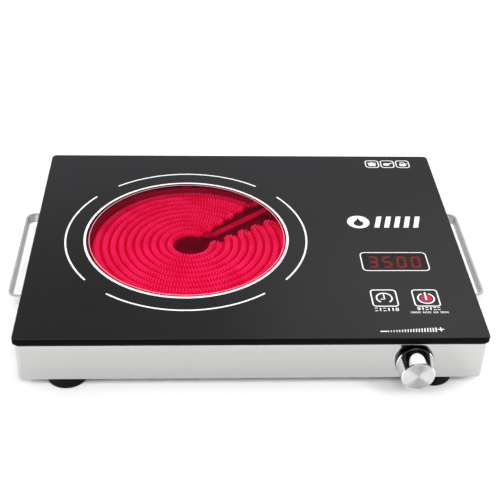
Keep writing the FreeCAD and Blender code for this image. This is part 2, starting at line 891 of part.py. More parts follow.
def coil_path():
    """The centre line of the wound wire: rings that turn back at the lead channel.

    The wire comes in along the channel, bends into the first ring, and goes from
    ring to ring by half circles on the two sides of the channel. The last ring
    bends out beside the channel and leaves through the same notch.
    """
    lead = d.channel_angle.number
    pitch = d.coil_pitch.number
    count = int(d.coil_turns.number)
    radii = [d.coil_first_radius.number + pitch * index for index in range(count)]

    def along(distance, offset):
        """A point on a line beside the channel's axis."""
        return polar(distance, lead) + polar(offset, lead - 90)

    def entry(radius, bend, offset):
        """Where a ring leaves for a straight lead, and the bend between them."""
        turn = math.degrees(math.asin((bend - offset) / (radius + bend)))
        leave = polar(radius, lead + turn)
        centre = polar(radius + bend, lead + turn)
        arrive = centre + polar(bend, lead - 90)
        half = polar(bend, (lead - 90 + lead + turn + 180) / 2)
        side = centre + half if (centre + half).Length < centre.Length else centre - half
        return lead + turn, leave, side, arrive

    def turning_angle(middle, upper):
        """The angle of a half circle, from its clear distance to the channel's axis."""
        if upper:
            return lead + math.degrees(math.asin((6.0 + 0.135 * middle) / middle))
        return lead - math.degrees(math.asin((13.0 + 0.11 * middle) / middle)) + 360

    edges = []
    start_angle, leave, side, arrive = entry(radii[0], d.lead_bend.number, d.lead_offset.number)
    edges.append(Part.LineSegment(along(d.lead_length.number, d.lead_offset.number), arrive))
    edges.append(Part.Arc(arrive, side, leave))
    angle = start_angle
    for index, radius in enumerate(radii):
        forward = index % 2 == 0
        if index == count - 1:
            out = entry(radius, d.return_bend.number, d.return_offset.number)
            end_angle = out[0]
        else:
            middle_radius = radius + pitch / 2
            end_angle = turning_angle(middle_radius, not forward)
        halfway = polar(radius, (angle + end_angle) / 2)
        edges.append(Part.Arc(polar(radius, angle), halfway, polar(radius, end_angle)))
        if index < count - 1:
            sign = 1 if forward else -1
            tip = polar(middle_radius, end_angle) + polar(pitch / 2, end_angle + 90 * sign)
            edges.append(Part.Arc(polar(radius, end_angle), tip,
                                  polar(radius + pitch, end_angle)))
        angle = end_angle
    edges.append(Part.Arc(out[1], out[2], out[3]))
    end = along(d.lead_length.number, d.return_offset.number)
    edges.append(Part.LineSegment(out[3], end))
    return Part.Wire([edge.toShape() for edge in edges])


def make_coil():
    path = doc.addObject("Part::Feature", "coil_path")
    path.Shape = coil_path()
    section = doc.addObject("Part::Circle", "coil_section")
    bind(section, Radius=d.coil_thickness / 2)
    start = path.Shape.Edges[0]
    section.Placement = Placement(start.valueAt(start.FirstParameter),
                                  Rotation(Vector(0, 0, 1), start.tangentAt(start.FirstParameter)))
    coil = doc.addObject("Part::Sweep", "heating_coil")
    coil.Sections = [section]
    coil.Spine = (path, ["Edge%d" % (i + 1) for i in range(len(path.Shape.Edges))])
    coil.Solid = True
    coil.Frenet = False
    coil.Transition = "Transformed"
    move(coil, d.heater_x, d.heater_y, coil_z)
    keep(coil, "heating_coil")


def make_terminals():
    turn = Rotation(Vector(0, 0, 1), d.channel_angle.number)
    block_z = as_dim(1.5) + d.terminal_height / 2
    body = new_body("terminal_block", d.heater_x, d.heater_y, coil_z, turn)
    middle = -(d.lead_offset + d.return_offset) / 2
    plan = new_sketch(body, "plan", lift=-block_z)
    rectangle(plan, d.terminal_length, d.terminal_width, as_dim(1.5),
              d.terminal_near + d.terminal_length / 2, middle)
    pad(body, plan, d.terminal_height)
    holes = new_sketch(body, "holes", "YZ", lift=d.terminal_near)
    for offset in (d.lead_offset, d.return_offset):
        circle(holes, -offset, ZERO, d.coil_thickness / 2)
    pocket(body, holes, d.lead_length - d.terminal_near, back=True)

    tabs = []
    for index, offset in enumerate((d.lead_offset, d.return_offset)):
        tab = block("terminal_tab_%d" % (index + 1), 9.0, 6.3, 0.8,
                    d.terminal_near + d.terminal_length + 4.5, -offset, -block_z + 1.0)
        tabs.append(tab)
    group = doc.addObject("Part::Compound", "terminal_tabs")
    group.Links = tabs
    group.Placement = Placement(Vector(), turn)
    move(group, d.heater_x, d.heater_y, coil_z)
    keep(group, "terminal_tabs")


def make_limiter():
    """A snap-disc cutout clamped against the outside of the heater pan."""
    height = 12.0
    cap = cylinder("limiter_cap", 7.0, 3.0)
    cap.Placement = Placement(Vector(), AXES["+X"])
    middle_z = height / 2
    move(cap, d.pan_radius + 0.2, ZERO, as_dim(middle_z))
    body = block("limiter_body", 9.0, 18.0, height, d.pan_radius + 7.7)
    tabs = [block("limiter_tab_%d" % side, 7.0, 0.8, 6.0, d.pan_radius + 15.5, 5.0 * side, 3.0)
            for side in (-1, 1)]
    limiter = fuse("thermal_limiter", [cap, body] + tabs)
    limiter.Placement = Placement(Vector(), Rotation(Vector(0, 0, 1), d.limiter_angle.number))
    move(limiter, d.heater_x, d.heater_y, pan_z + 2)
    keep(limiter, "thermal_limiter")


def make_springs():
    """Leaf springs on the base plate that press the heater up against the glass."""
    strip = d.spring_strip
    rise = pan_z - case_z
    for label, degrees in (("rear_heater_spring", 90), ("left_heater_spring", 210),
                           ("right_heater_spring", 330)):
        x = d.heater_x + d.spring_radius * math.cos(math.radians(degrees))
        y = d.heater_y + d.spring_radius * math.sin(math.radians(degrees))
        body = new_body(label, x, y, case_z, Rotation(Vector(0, 0, 1), degrees))
        side = new_sketch(body, "side", "XZ", lift=-d.spring_width / 2)
        polygon(side, [
            (as_dim(-16.0), ZERO),
            (ZERO, ZERO),
            (as_dim(9.0), rise - strip),
            (as_dim(20.0), rise - strip),
            (as_dim(20.0), rise),
            (as_dim(8.4), rise),
            (as_dim(-0.6), strip),
            (as_dim(-16.0), strip),
        ])
        pad(body, side, d.spring_width)


# ----------------------------------------------------------------- the electronics


def make_board(label, x, y, z, width, depth):
    body = new_body(label, x, y, z)
    plan = new_sketch(body, "plan")
    rectangle(plan, width, depth, as_dim(1.5))
    for hole_x, hole_y in board_hole_places(width, depth):
        circle(plan, hole_x, hole_y, d.board_hole_radius)
    pad(body, plan, d.board_thickness)


def make_control_unit():
    board_z = glass_z - d.display_height - d.board_thickness
    make_board("control_board", d.display_x, d.control_board_y, board_z,
               d.control_board_width, d.control_board_depth)

    face = new_body("display_module", d.display_x, d.display_y, glass_z - d.display_height)
    plan = new_sketch(face, "plan")
    rectangle(plan, d.display_width, d.display_depth, as_dim(0.8))
    pad(face, plan, d.display_height)
    window = new_sketch(face, "window", lift=d.display_height)
    rectangle(window, d.digit_width, d.digit_depth, ZERO, d.digit_pitch * -1.5)
    first = pocket(face, window, d.digit_recess)
    pattern(face, first, "LinearPattern", (window, ["H_Axis"]), 4, Length=d.digit_pitch * 3)

    for label, x in (("timer_touch_pad", d.timer_key_x), ("power_touch_pad", d.power_key_x)):
        pad_body = new_body(label, x, d.key_y, glass_z - d.display_height)
        profile = new_sketch(pad_body, "profile", "XZ")
        radius, height = d.touch_pad_radius, d.display_height
        polygon(profile, [
            (ZERO, ZERO),
            (radius * 0.8, ZERO),
            (radius * 0.8, height * 0.6),
            (radius, height * 0.75),
            (radius, height),
            (ZERO, height),
        ])
        revolve(pad_body, profile)

    holes = control_board_holes()
    height = board_z - case_z
    fastener_group("control_board_standoffs", standoff(height),
                   [(x, y, case_z, "+Z") for x, y in holes])
    return [(x, y, board_z + d.board_thickness, "+Z") for x, y in holes]


def make_power_unit():
    board_z = case_z + d.power_board_rise
    make_board("power_board", d.power_board_x, d.power_board_y, board_z,
               d.power_board_width, d.power_board_depth)
    top = board_z + d.board_thickness

    sink = new_body("heat_sink", d.power_board_x - 10, d.power_board_y - 16, top)
    plan = new_sketch(sink, "plan")
    rectangle(plan, d.sink_length, d.sink_width)
    pad(sink, plan, d.sink_height)
    pitch = d.sink_width / d.sink_fins
    gap = new_sketch(sink, "gap", lift=d.sink_height)
    rectangle(gap, d.sink_length + 2, d.sink_gap, ZERO, ZERO, pitch * -1.5)
    first = pocket(sink, gap, d.sink_height - d.sink_base)
    pattern(sink, first, "LinearPattern", (gap, ["V_Axis"]), d.sink_fins - 1,
            Length=pitch * (SIZE_OF["sink_fins"] - 2))

    for label, x, y, sizes in (
            ("power_relay", -32, 20, (d.relay_length, d.relay_width, d.relay_height)),
            ("filter_capacitor", 2, 20,
             (d.capacitor_length, d.capacitor_width, d.capacitor_height))):
        box_body = new_body(label, d.power_board_x + x, d.power_board_y + y, top)
        box_plan = new_sketch(box_body, "plan")
        rectangle(box_plan, sizes[0], sizes[1], as_dim(0.6))
        pad(box_body, box_plan, sizes[2])
        dress(box_body, "Fillet", flat_at(sizes[2]), 0.5)

    holes = power_board_holes()
    fastener_group("power_board_standoffs", standoff(d.power_board_rise),
                   [(x, y, case_z, "+Z") for x, y in holes])
    return [(x, y, top, "+Z") for x, y in holes]


def make_fan():
    frame = new_body("fan_frame", d.fan_x, d.fan_y, case_z)
    plan = new_sketch(frame, "plan")
    rectangle(plan, d.fan_size, d.fan_size, d.fan_corner)
    circle(plan, ZERO, ZERO, d.fan_bore)
    half = d.fan_hole_pitch / 2
    corners = [(-half, -half), (half, -half), (half, half), (-half, half)]
    for x, y in corners:
        circle(plan, x, y, d.small_screw_radius + d.hole_clearance)
    pad(frame, plan, d.fan_height)

    strut_z = d.fan_height - d.fan_strut_height
    strut = new_sketch(frame, "strut", lift=strut_z)
    polygon(strut, [
        (d.fan_motor_radius - 1, -d.fan_strut_width / 2),
        (d.fan_bore + 0.8, -d.fan_strut_width / 2),
        (d.fan_bore + 0.8, d.fan_strut_width / 2),
        (d.fan_motor_radius - 1, d.fan_strut_width / 2),
    ])
    first = pad(frame, strut, d.fan_strut_height)
    pattern(frame, first, "PolarPattern", (strut, ["N_Axis"]), 4, Angle=360)
    motor = new_sketch(frame, "motor", lift=strut_z)
    circle(motor, ZERO, ZERO, d.fan_motor_radius)
    pad(frame, motor, d.fan_strut_height)
    boss = new_sketch(frame, "boss", lift=strut_z - d.fan_boss_drop)
    circle(boss, ZERO, ZERO, d.fan_boss_radius)
    pad(frame, boss, d.fan_boss_drop)
    seat = new_sketch(frame, "seat", lift=strut_z - d.fan_boss_drop)
    circle(seat, ZERO, ZERO, d.fan_bearing_radius)
    pocket(frame, seat, d.fan_boss_drop, back=True)

    bearing_z = case_z + strut_z - d.fan_boss_drop
    bearing = new_body("fan_bearing", d.fan_x, d.fan_y, bearing_z)
    ring = new_sketch(bearing, "ring")
    circle(ring, ZERO, ZERO, d.fan_bearing_radius)
    circle(ring, ZERO, ZERO, d.fan_axle_radius + d.fan_axle_clearance)
    pad(bearing, ring, d.fan_boss_drop)

    rotor_z = case_z + d.fan_hub_low
    hub = new_body("fan_impeller", d.fan_x, d.fan_y, rotor_z)
    cup = new_sketch(hub, "cup", "XZ")
    outer = d.fan_hub_radius
    axle = d.fan_axle_radius
    polygon(cup, [
        (axle, ZERO),
        (outer - 1.5, ZERO),
        (outer, as_dim(1.5)),
        (outer, d.fan_hub_height),
        (outer - 1.5, d.fan_hub_height),
        (outer - 1.5, d.fan_hub_floor),
        (axle, d.fan_hub_floor),
    ])
    revolve(hub, cup)
    middle = d.fan_hub_height / 2
    blade = new_sketch(hub, "blade", "YZ", lift=outer - 0.4)
    half_chord = d.fan_blade_chord / 2
    half_thick = d.fan_blade_thickness / 2
    lean_cos = math.cos(math.radians(d.fan_blade_tilt.number))
    lean_sin = math.sin(math.radians(d.fan_blade_tilt.number))
    corners_2d = []
    for along_sign, across_sign in ((-1, -1), (1, -1), (1, 1), (-1, 1)):
        along = half_chord * along_sign
        across = half_thick * across_sign
        corners_2d.append((along * lean_cos - across * lean_sin,
                           middle + along * lean_sin + across * lean_cos))
    polygon(blade, corners_2d)
    first = pad(hub, blade, d.fan_blade_radius - outer + 0.4)
    blade_axis = (cup, ["V_Axis"])
    pattern(hub, first, "PolarPattern", blade_axis, d.fan_blades, Angle=360)

    pin = cylinder("fan_axle", d.fan_axle_radius, strut_z - d.fan_hub_low - 0.4,
                   d.fan_x, d.fan_y, rotor_z)
    keep(pin, "fan_axle")
    fastener_group("fan_screws", small_screw(d.fan_height),
                   [(d.fan_x + x, d.fan_y + y, case_z + d.fan_height, "+Z")
                    for x, y in corners])


# ------------------------------------------------------------ the knob and the gland


def make_encoder():
    face_y = case_front_y + d.case_wall
    outward = Rotation(Vector(1, 0, 0), 90)

    housing = new_body("encoder_body", d.knob_x, face_y, mid_z, outward)
    plan = new_sketch(housing, "plan")
    rectangle(plan, d.encoder_size, d.encoder_size, as_dim(0.8))
    pad(housing, plan, d.encoder_depth, back=True)
    neck = new_sketch(housing, "neck")
    circle(neck, ZERO, ZERO, d.bushing_radius)
    pad(housing, neck, d.bushing_length)
    bore = new_sketch(housing, "bore", lift=d.bushing_length)
    circle(bore, ZERO, ZERO, d.shaft_radius + d.shaft_clearance)
    pocket(housing, bore, d.bushing_length + d.encoder_depth - 1.5)

    board = new_body("encoder_board", d.knob_x, face_y + d.encoder_depth, mid_z, outward)
    board_plan = new_sketch(board, "plan")
    rectangle(board_plan, d.encoder_board_size, d.encoder_board_size * 0.8, as_dim(1.0))
    pad(board, board_plan, d.board_thickness, back=True)

    nut = new_body("encoder_nut", d.knob_x, case_front_y, mid_z, outward)
    flats = new_sketch(nut, "flats")
    hexagon(flats, d.encoder_nut_width)
    circle(flats, ZERO, ZERO, d.bushing_radius)
    pad(nut, flats, d.encoder_nut_height)

    shaft = new_body("encoder_shaft", d.knob_x, face_y + d.encoder_depth - 2.0, mid_z, outward)
    round_bar = new_sketch(shaft, "bar")
    circle(round_bar, ZERO, ZERO, d.shaft_radius)
    length = d.knob_protrusion + d.case_wall + d.encoder_depth - 2.0 - 4.5
    pad(shaft, round_bar, length)
    flat = new_sketch(shaft, "flat", lift=length)
    rectangle(flat, d.shaft_radius * 2 + 1, d.shaft_flat * 2, ZERO, ZERO, d.shaft_radius)
    pocket(shaft, flat, 6.0)


def make_knob():
    outward = Rotation(Vector(1, 0, 0), 90)
    plate = new_body("knob_escutcheon", d.knob_x, case_front_y, mid_z, outward)
    ring = new_sketch(plate, "ring", "XZ")
    outer, thick = d.escutcheon_radius, d.escutcheon_thickness
    polygon(ring, [
        (d.escutcheon_bore, ZERO),
        (outer, ZERO),
        (outer, thick - 1.8),
        (outer - 0.2, thick - 1.0),
        (outer - 0.6, thick - 0.4),
        (outer - 1.2, thick),
        (d.escutcheon_bore, thick),
    ])
    revolve(plate, ring)

    back = d.escutcheon_thickness + d.knob_gap
    body = new_body("knob_body", d.knob_x, case_front_y, mid_z, outward)
    side = new_sketch(body, "side", "XZ")
    radius, wide, front = d.knob_radius, d.knob_back_radius, d.knob_protrusion
    recess = d.knob_face_thickness + d.knob_face_inset
    cavity_top = back + d.knob_cavity_depth
    polygon(side, [
        (d.knob_cavity_radius, back),
        (wide - 0.5, back),
        (wide, back + 0.5),
        (radius, front - d.knob_rim),
        (radius - 0.35, front - 0.25),
        (radius - 0.6, front),
        (d.knob_rim_radius, front),
        (d.knob_rim_radius, front - recess),
        (ZERO, front - recess),
        (ZERO, cavity_top),
        (d.knob_cavity_radius, cavity_top),
    ])
    revolve(body, side)
    bore = new_sketch(body, "bore", lift=cavity_top)
    circle(bore, ZERO, ZERO, d.shaft_radius)
    pocket(body, bore, front - 4.5 - cavity_top, back=True)

    disc = new_body("knob_face", d.knob_x, case_front_y, mid_z, outward)
    dish = new_sketch(disc, "dish", "XZ")
    face = front - d.knob_face_inset
    polygon(dish, [
        (ZERO, front - recess),
        (d.knob_rim_radius, front - recess),
        (d.knob_rim_radius, face - 0.2),
        (d.knob_rim_radius - 0.4, face),
        (ZERO, face),
    ])
    revolve(disc, dish)


def make_gland():
    outward = Rotation(Vector(1, 0, 0), -90)
    gland = new_body("cord_gland", d.gland_x, case_rear_y, mid_z, outward)
    side = new_sketch(gland, "side", "XZ")
    bore, sleeve = d.gland_bore_radius, d.gland_sleeve_radius
    inner_end = -d.gland_sleeve_length
    flange, nose = d.gland_flange_length, d.gland_protrusion
    polygon(side, [
        (bore, inner_end),
        (sleeve, inner_end),
        (sleeve, ZERO),
        (d.gland_flange_radius, ZERO),
        (d.gland_flange_radius, flange - 0.8),
        (d.gland_flange_radius - 0.8, flange),
        (d.gland_nose_radius + 0.8, flange),
        (d.gland_nose_radius, nose),
        (bore, nose),
    ])
    revolve(gland, side)

    nut = new_body("gland_nut", d.gland_x, case_rear_y - d.case_wall, mid_z,
                   Rotation(Vector(1, 0, 0), 90))
    flats = new_sketch(nut, "flats")
    hexagon(flats, d.gland_nut_width)
    circle(flats, ZERO, ZERO, d.gland_sleeve_radius)
    pad(nut, flats, d.gland_nut_height)


# ------------------------------------------------------------------------- checks


def check_document():
    """Stop on a failed object or an open or missing shape."""
    doc.recompute()
    for obj in doc.Objects:
        if "Invalid" in obj.State or "Error" in obj.State:
            raise ValueError("%s: %s" % (obj.Name, obj.State))
    for part in PARTS:
        shape = part.Shape
        if shape.isNull() or not shape.isValid() or not shape.Solids:
            raise ValueError("%s has no valid solid" % part.Label)


SIZE_OF = dict(SIZES)

make_glass()
make_seal()
make_case()
make_base_plate()
make_feet()
make_handles()
make_outside_fasteners()
make_pan()
make_insulation()
make_coil()
make_terminals()
make_limiter()
make_springs()
board_screw_places = make_control_unit()
board_screw_places += make_power_unit()
fastener_group("board_screws", small_screw(as_dim(5.0)), board_screw_places)
make_fan()
make_encoder()
make_knob()
make_gland()
check_document()

os.makedirs("parts", exist_ok=True)
for part in PARTS:
    part.Shape.exportStep("parts/%s.step" % part.Label)
    print(part.Label, len(part.Shape.Solids), round(part.Shape.Volume))
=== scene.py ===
import math

import bmesh
import bpy
from mathutils import Matrix, Vector, noise


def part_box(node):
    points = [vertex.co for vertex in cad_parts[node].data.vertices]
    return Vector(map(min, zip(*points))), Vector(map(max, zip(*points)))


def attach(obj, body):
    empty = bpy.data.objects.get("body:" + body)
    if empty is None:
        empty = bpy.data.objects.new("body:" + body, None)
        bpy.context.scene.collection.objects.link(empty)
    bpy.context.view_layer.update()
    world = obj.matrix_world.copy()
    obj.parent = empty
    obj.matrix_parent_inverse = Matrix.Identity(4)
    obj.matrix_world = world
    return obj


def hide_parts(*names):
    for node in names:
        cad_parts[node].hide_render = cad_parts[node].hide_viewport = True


# A portable radiant hot plate, switched on: a black glass top on a brushed steel case,
# with a round zone over a red-hot wound wire, printed controls, a red number display,
# a turned metal knob in front and a strip handle at each side.
#
# Sizes below are in millimetres in the frame of the CAD model, and become metres where
# a mesh is made.

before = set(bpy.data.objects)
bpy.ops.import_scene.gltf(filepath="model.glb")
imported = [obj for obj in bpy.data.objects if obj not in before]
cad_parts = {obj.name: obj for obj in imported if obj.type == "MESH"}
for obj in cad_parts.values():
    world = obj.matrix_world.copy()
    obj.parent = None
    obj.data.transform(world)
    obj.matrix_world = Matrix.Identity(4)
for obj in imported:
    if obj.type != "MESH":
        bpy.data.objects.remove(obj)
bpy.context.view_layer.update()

MM = 0.001
BOX = {name: [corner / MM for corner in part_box(name)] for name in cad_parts}


def box_middle(name):
    """The middle of a CAD node's box."""
    low, high = BOX[name]
    return (low + high) / 2


GLASS_LOW, GLASS_HIGH = BOX["glass_panel"]
TOP = GLASS_HIGH.z                    # upper face of the glass
UNDER = GLASS_LOW.z                   # lower face of the glass
COIL_LOW, COIL_HIGH = BOX["heating_coil"]
HEATER = box_middle("insulation_ring")
WALL_RADIUS = 90.0                    # inside of the fibre ring
DISPLAY = box_middle("display_module")
KNOB = box_middle("knob_face")
FINE = 0.02                           # a joint too fine to see


# ---------------------------------------------------------------- shader nodes

class Nodes:
    """A node tree, with short ways to add nodes and join them."""

    def __init__(self, tree):
        self.nodes = tree.nodes
        self.links = tree.links

    def add(self, kind, sockets=None, **settings):
        """A new node; sockets holds a value or another node's output for each input."""
        node = self.nodes.new("ShaderNode" + kind)
        for key, value in settings.items():
            setattr(node, key, value)
        self.feed(node, sockets or {})
        return node

    def feed(self, node, sockets):
        """Set or join a node's inputs."""
        for key, value in sockets.items():
            if isinstance(value, bpy.types.NodeSocket):
                self.links.new(value, node.inputs[key])
            else:
                node.inputs[key].default_value = value

    def place(self, stretch=(1, 1, 1), shift=(0, 0, 0)):
        """Position in metres on the object, shifted and then stretched."""
        where = self.add("TexCoord").outputs["Object"]
        moved = self.add("Mapping", {"Vector": where, "Location": shift}, vector_type="POINT")
        return self.add("VectorMath", {0: moved.outputs[0], 1: stretch},
                        operation="MULTIPLY").outputs[0]

    def from_axis(self, x=0.0, y=0.0, z=0.0, stretch=(1, 1, 0)):
        """Distance in metres from an upright axis through a point in millimetres; another
        stretch turns the axis."""
        flat = self.place(stretch, (-x * MM, -y * MM, -z * MM))
        return self.add("VectorMath", {0: flat}, operation="LENGTH").outputs["Value"]

    def grain(self, scale, where=None, detail=3.0):
        """Cloudy noise from 0 to 1."""
        return self.add("TexNoise", {"Vector": where or self.place(), "Scale": scale,
                                     "Detail": detail, "Roughness": 0.55}).outputs["Fac"]

    def cells(self, scale, where=None):
        """Distance from the middle of crystal-like cells."""
        return self.add("TexVoronoi", {"Vector": where or self.place(),
                                       "Scale": scale}).outputs["Distance"]

    def ramp(self, factor, *stops):
        """A colour by factor; each stop is (position, colour)."""
        node = self.add("ValToRGB", {"Fac": factor})
        elements = node.color_ramp.elements
        while len(elements) < len(stops):
            elements.new(0.5)
        for element, (position, colour) in zip(elements, stops):
            element.position = position
            element.color = (*colour, 1.0)
        return node.outputs["Color"]

    def span(self, factor, low, high, start=0.0, end=1.0, soft=False):
        """A number from low to high while factor goes from start to end."""
        kind = "SMOOTHSTEP" if soft else "LINEAR"
        return self.add("MapRange", {"Value": factor, "From Min": start, "From Max": end,
                                     "To Min": low, "To Max": high},
                        interpolation_type=kind).outputs["Result"]

    def calc(self, operation, *terms):
        """The result of one arithmetic operation."""
        return self.add("Math", dict(enumerate(terms)), operation=operation).outputs[0]

    def bump(self, height, depth):
        """A normal for relief this many millimetres deep."""
        return self.add("Bump", {"Height": height, "Distance": depth * MM,
                                 "Strength": 1.0}).outputs["Normal"]


class Surface(Nodes):
    """A material around one Principled shader."""

    def __init__(self, name, **sockets):
        self.material = bpy.data.materials.new(name)
        self.material.use_nodes = True
        super().__init__(self.material.node_tree)
        self.shader = self.nodes["Principled BSDF"]
        self.output = self.nodes["Material Output"]
        self.set(**sockets)

    def set(self, **sockets):
        """Set or join the shader's inputs."""
        names = {"colour": "Base Color", "roughness": "Roughness", "metallic": "Metallic",
                 "ior": "IOR", "specular": "Specular IOR Level", "normal": "Normal",
                 "anisotropic": "Anisotropic", "turned": "Anisotropic Rotation",
                 "tangent": "Tangent", "coat": "Coat Weight", "glow": "Emission Color",
                 "glow_strength": "Emission Strength"}
        self.feed(self.shader, {names[key]: value for key, value in sockets.items()})

    def shine(self, colour, strength):
        """Light that the surface gives off, without counting as a lamp."""
        self.set(glow=colour, glow_strength=strength)
        self.material.cycles.emission_sampling = "NONE"


def grey(level):
    return (level, level, level)


def grained(name, dark, light, rough, scale, stretch=(1, 1, 1), depth=0.0, cells=False,
            **sockets):
    """A material whose colour, gloss and relief follow one grain."""
    surface = Surface(name, **sockets)
    where = surface.place(stretch)
    factor = surface.cells(scale, where) if cells else surface.grain(scale, where)
    surface.set(colour=surface.ramp(factor, (0.25, dark), (0.75, light)),
                roughness=surface.span(factor, *rough, start=0.25, end=0.75))
    if depth:
        surface.set(normal=surface.bump(factor, depth))
    return surface.material


# ---------------------------------------------------------------- materials

def black_glass():
    """Polished glass-ceramic with faint wiping marks."""
    surface = Surface("black glass", ior=1.36)
    cloud = surface.grain(9)
    wipe = surface.grain(60, surface.place((0.35, 1.6, 1)))
    haze = surface.calc("MULTIPLY", cloud, wipe)
    surface.set(colour=surface.ramp(cloud, (0.3, (0.0046, 0.0042, 0.0050)),
                                    (0.7, (0.0062, 0.0056, 0.0068))),
                roughness=surface.span(haze, 0.05, 0.13, 0.1, 0.5))
    return surface.material


def ground_edge():
    """The ground side of the glass sheet."""
    return grained("ground glass edge", grey(0.0015), grey(0.004), (0.35, 0.55), 900,
                   (1, 1, 0.3), 0.01, ior=1.5, specular=0.03)


def see_through(name, tint, ior, rough):
    """Flat glass that filters what lies under it and reflects on its outer face only."""
    surface = Surface(name)
    cloud = surface.grain(9)
    clear = surface.add("BsdfTransparent", {"Color": (*tint, 1.0)})
    gloss = surface.add("BsdfGlossy", {"Roughness": surface.span(cloud, *rough)})
    facing = surface.add("Fresnel", {"IOR": ior}).outputs[0]
    inside = surface.add("NewGeometry").outputs["Backfacing"]
    share = surface.calc("MULTIPLY", facing, surface.calc("SUBTRACT", 1.0, inside))
    mixed = surface.add("MixShader", {0: share, 1: clear.outputs[0], 2: gloss.outputs[0]})
    surface.feed(surface.output, {"Surface": mixed.outputs[0]})
    surface.nodes.remove(surface.shader)
    return surface.material


def print_ink(name, colour):
    """Screen-printed enamel, a little uneven."""
    surface = Surface(name, ior=1.45)
    dots = surface.grain(2600, detail=1.0)
    cloud = surface.grain(70)
    thick = tuple(part * 0.93 for part in colour)
    surface.set(colour=surface.ramp(cloud, (0.3, thick), (0.7, colour)),
                roughness=surface.span(dots, 0.35, 0.6),
                normal=surface.bump(dots, 0.01))
    return surface.material


PAINTED_LIGHT_PEAK = 60                        # how far in front of the heater's middle the painted light is brightest


def painted_front_light_and_rim_shade(surface):
    """Strength of a glow with painted light, fullest near the front, and painted shade that dims
    it at the heater's back rim.
    """
    from_painted_light_peak = surface.from_axis(HEATER.x, HEATER.y - PAINTED_LIGHT_PEAK)
    # painted light: the glow grows toward the front
    full = surface.span(from_painted_light_peak, 1.11, 0.95, 0.0, 140 * MM)
    from_middle = surface.from_axis(HEATER.x, HEATER.y)
    # painted shade: the glow dims at the heater's back rim
    rim = surface.span(from_middle, 0.0, 0.5, 78 * MM, 88 * MM)
    depth = surface.add("SeparateXYZ", {0: surface.place()}).outputs["Y"]
    back = surface.span(depth, 0.0, 1.0, HEATER.y * MM, (HEATER.y + WALL_RADIUS / 2) * MM)
    dim = surface.calc("SUBTRACT", 1.0, surface.calc("MULTIPLY", rim, back))
    return surface.calc("MULTIPLY", full, dim)


def lead_glow(surface):
    """Strength of a glow that falls off outwards."""
    from_middle = surface.from_axis(HEATER.x, HEATER.y)
    return surface.span(from_middle, 1.0, 0.7, 60 * MM, 98 * MM, soft=True)


def painted_crest_and_front_light(surface, where):
    """A painted highlight on top of the wound wire, and painted light toward the heater's front.
    """
    axes = surface.add("SeparateXYZ", {0: where}).outputs
    lower_third = (COIL_LOW.z * 2 + COIL_HIGH.z) / 3
    # painted highlight: the tube brighter on top and darker down its sides
    top = surface.span(axes["Z"], -0.10, 0.14, lower_third * MM, COIL_HIGH.z * MM, soft=True)
    # painted light toward the heater's front
    front = surface.span(axes["Y"], 0.07, -0.05, (HEATER.y - WALL_RADIUS) * MM,
                         (HEATER.y + WALL_RADIUS) * MM)
    return surface.calc("ADD", top, front)


def hot_wire(name, cool, hot, strength, painted_crest=False):
    """Resistance wire that glows, brighter in places; where the crest flag is set, a painted
    highlight on its top and painted light toward the front; the function strength gives the glow's
    strength."""
    surface = Surface(name, metallic=0.2, roughness=0.6)
    where = surface.place()
    patch = surface.grain(45, where, detail=2.0)
    fine = surface.grain(900, where, detail=1.0)
    heat_and_painted_light = surface.calc("ADD", surface.calc("MULTIPLY", patch, 0.55),
                        surface.calc("MULTIPLY", fine, 0.45))
    # where the crest flag is set, a painted highlight and painted front light join the glow
    if painted_crest:
        heat_and_painted_light = surface.calc("ADD", heat_and_painted_light, painted_crest_and_front_light(surface, where))
    oxide = surface.ramp(fine, (0.3, (0.05, 0.012, 0.01)), (0.7, (0.12, 0.03, 0.02)))
    surface.set(colour=oxide)
    surface.shine(surface.ramp(heat_and_painted_light, (0.36, cool), (0.66, hot)), strength(surface))
    return surface.material


def fibre_with_painted_glow():
    """Ceramic fibre that lies round the wire, with the wire's light on it painted as a glow of its
    own.
    """
    surface = Surface("fibre with painted glow", roughness=0.95, specular=0.2)
    fibre = surface.grain(700, surface.place((1, 1, 0.4)), detail=4.0)
    patch = surface.grain(38, detail=2.0)
    heat_and_painted_light = surface.calc("MULTIPLY", fibre, surface.span(patch, 0.7, 1.3))
    surface.set(colour=surface.ramp(fibre, (0.3, (0.10, 0.05, 0.05)), (0.7, (0.18, 0.09, 0.09))),
                normal=surface.bump(fibre, 0.25))
    # painted glow: the wire's light on the fibre, given off by the fibre itself
    surface.shine(surface.ramp(heat_and_painted_light, (0.3, (0.76, 0.004, 0.060)), (0.7, (1.10, 0.014, 0.120))),
                  painted_front_light_and_rim_shade(surface))
    return surface.material


def insulation(name, dark, light):
    """Pressed ceramic fibre."""
    surface = Surface(name, specular=0.15)
    fibre = surface.grain(520, surface.place((1, 1, 2.2)), detail=5.0)
    lump = surface.grain(90)
    both = surface.calc("MULTIPLY_ADD", fibre, 0.6, surface.calc("MULTIPLY", lump, 0.4))
    surface.set(colour=surface.ramp(both, (0.35, dark), (0.65, light)),
                roughness=surface.span(fibre, 0.85, 1.0), normal=surface.bump(both, 0.4))
    return surface.material


def lit_segment():
    """A red light segment under its diffuser."""
    surface = Surface("lit segment", roughness=0.5)
    cloud = surface.grain(420, detail=1.0)
    unlit = surface.ramp(cloud, (0.3, (0.05, 0.003, 0.004)), (0.7, (0.08, 0.005, 0.006)))
    lit = surface.ramp(cloud, (0.3, (1.0, 0.001, 0.006)), (0.7, (1.0, 0.004, 0.016)))
    surface.set(colour=unlit)
    surface.shine(lit, 0.95)
    return surface.material


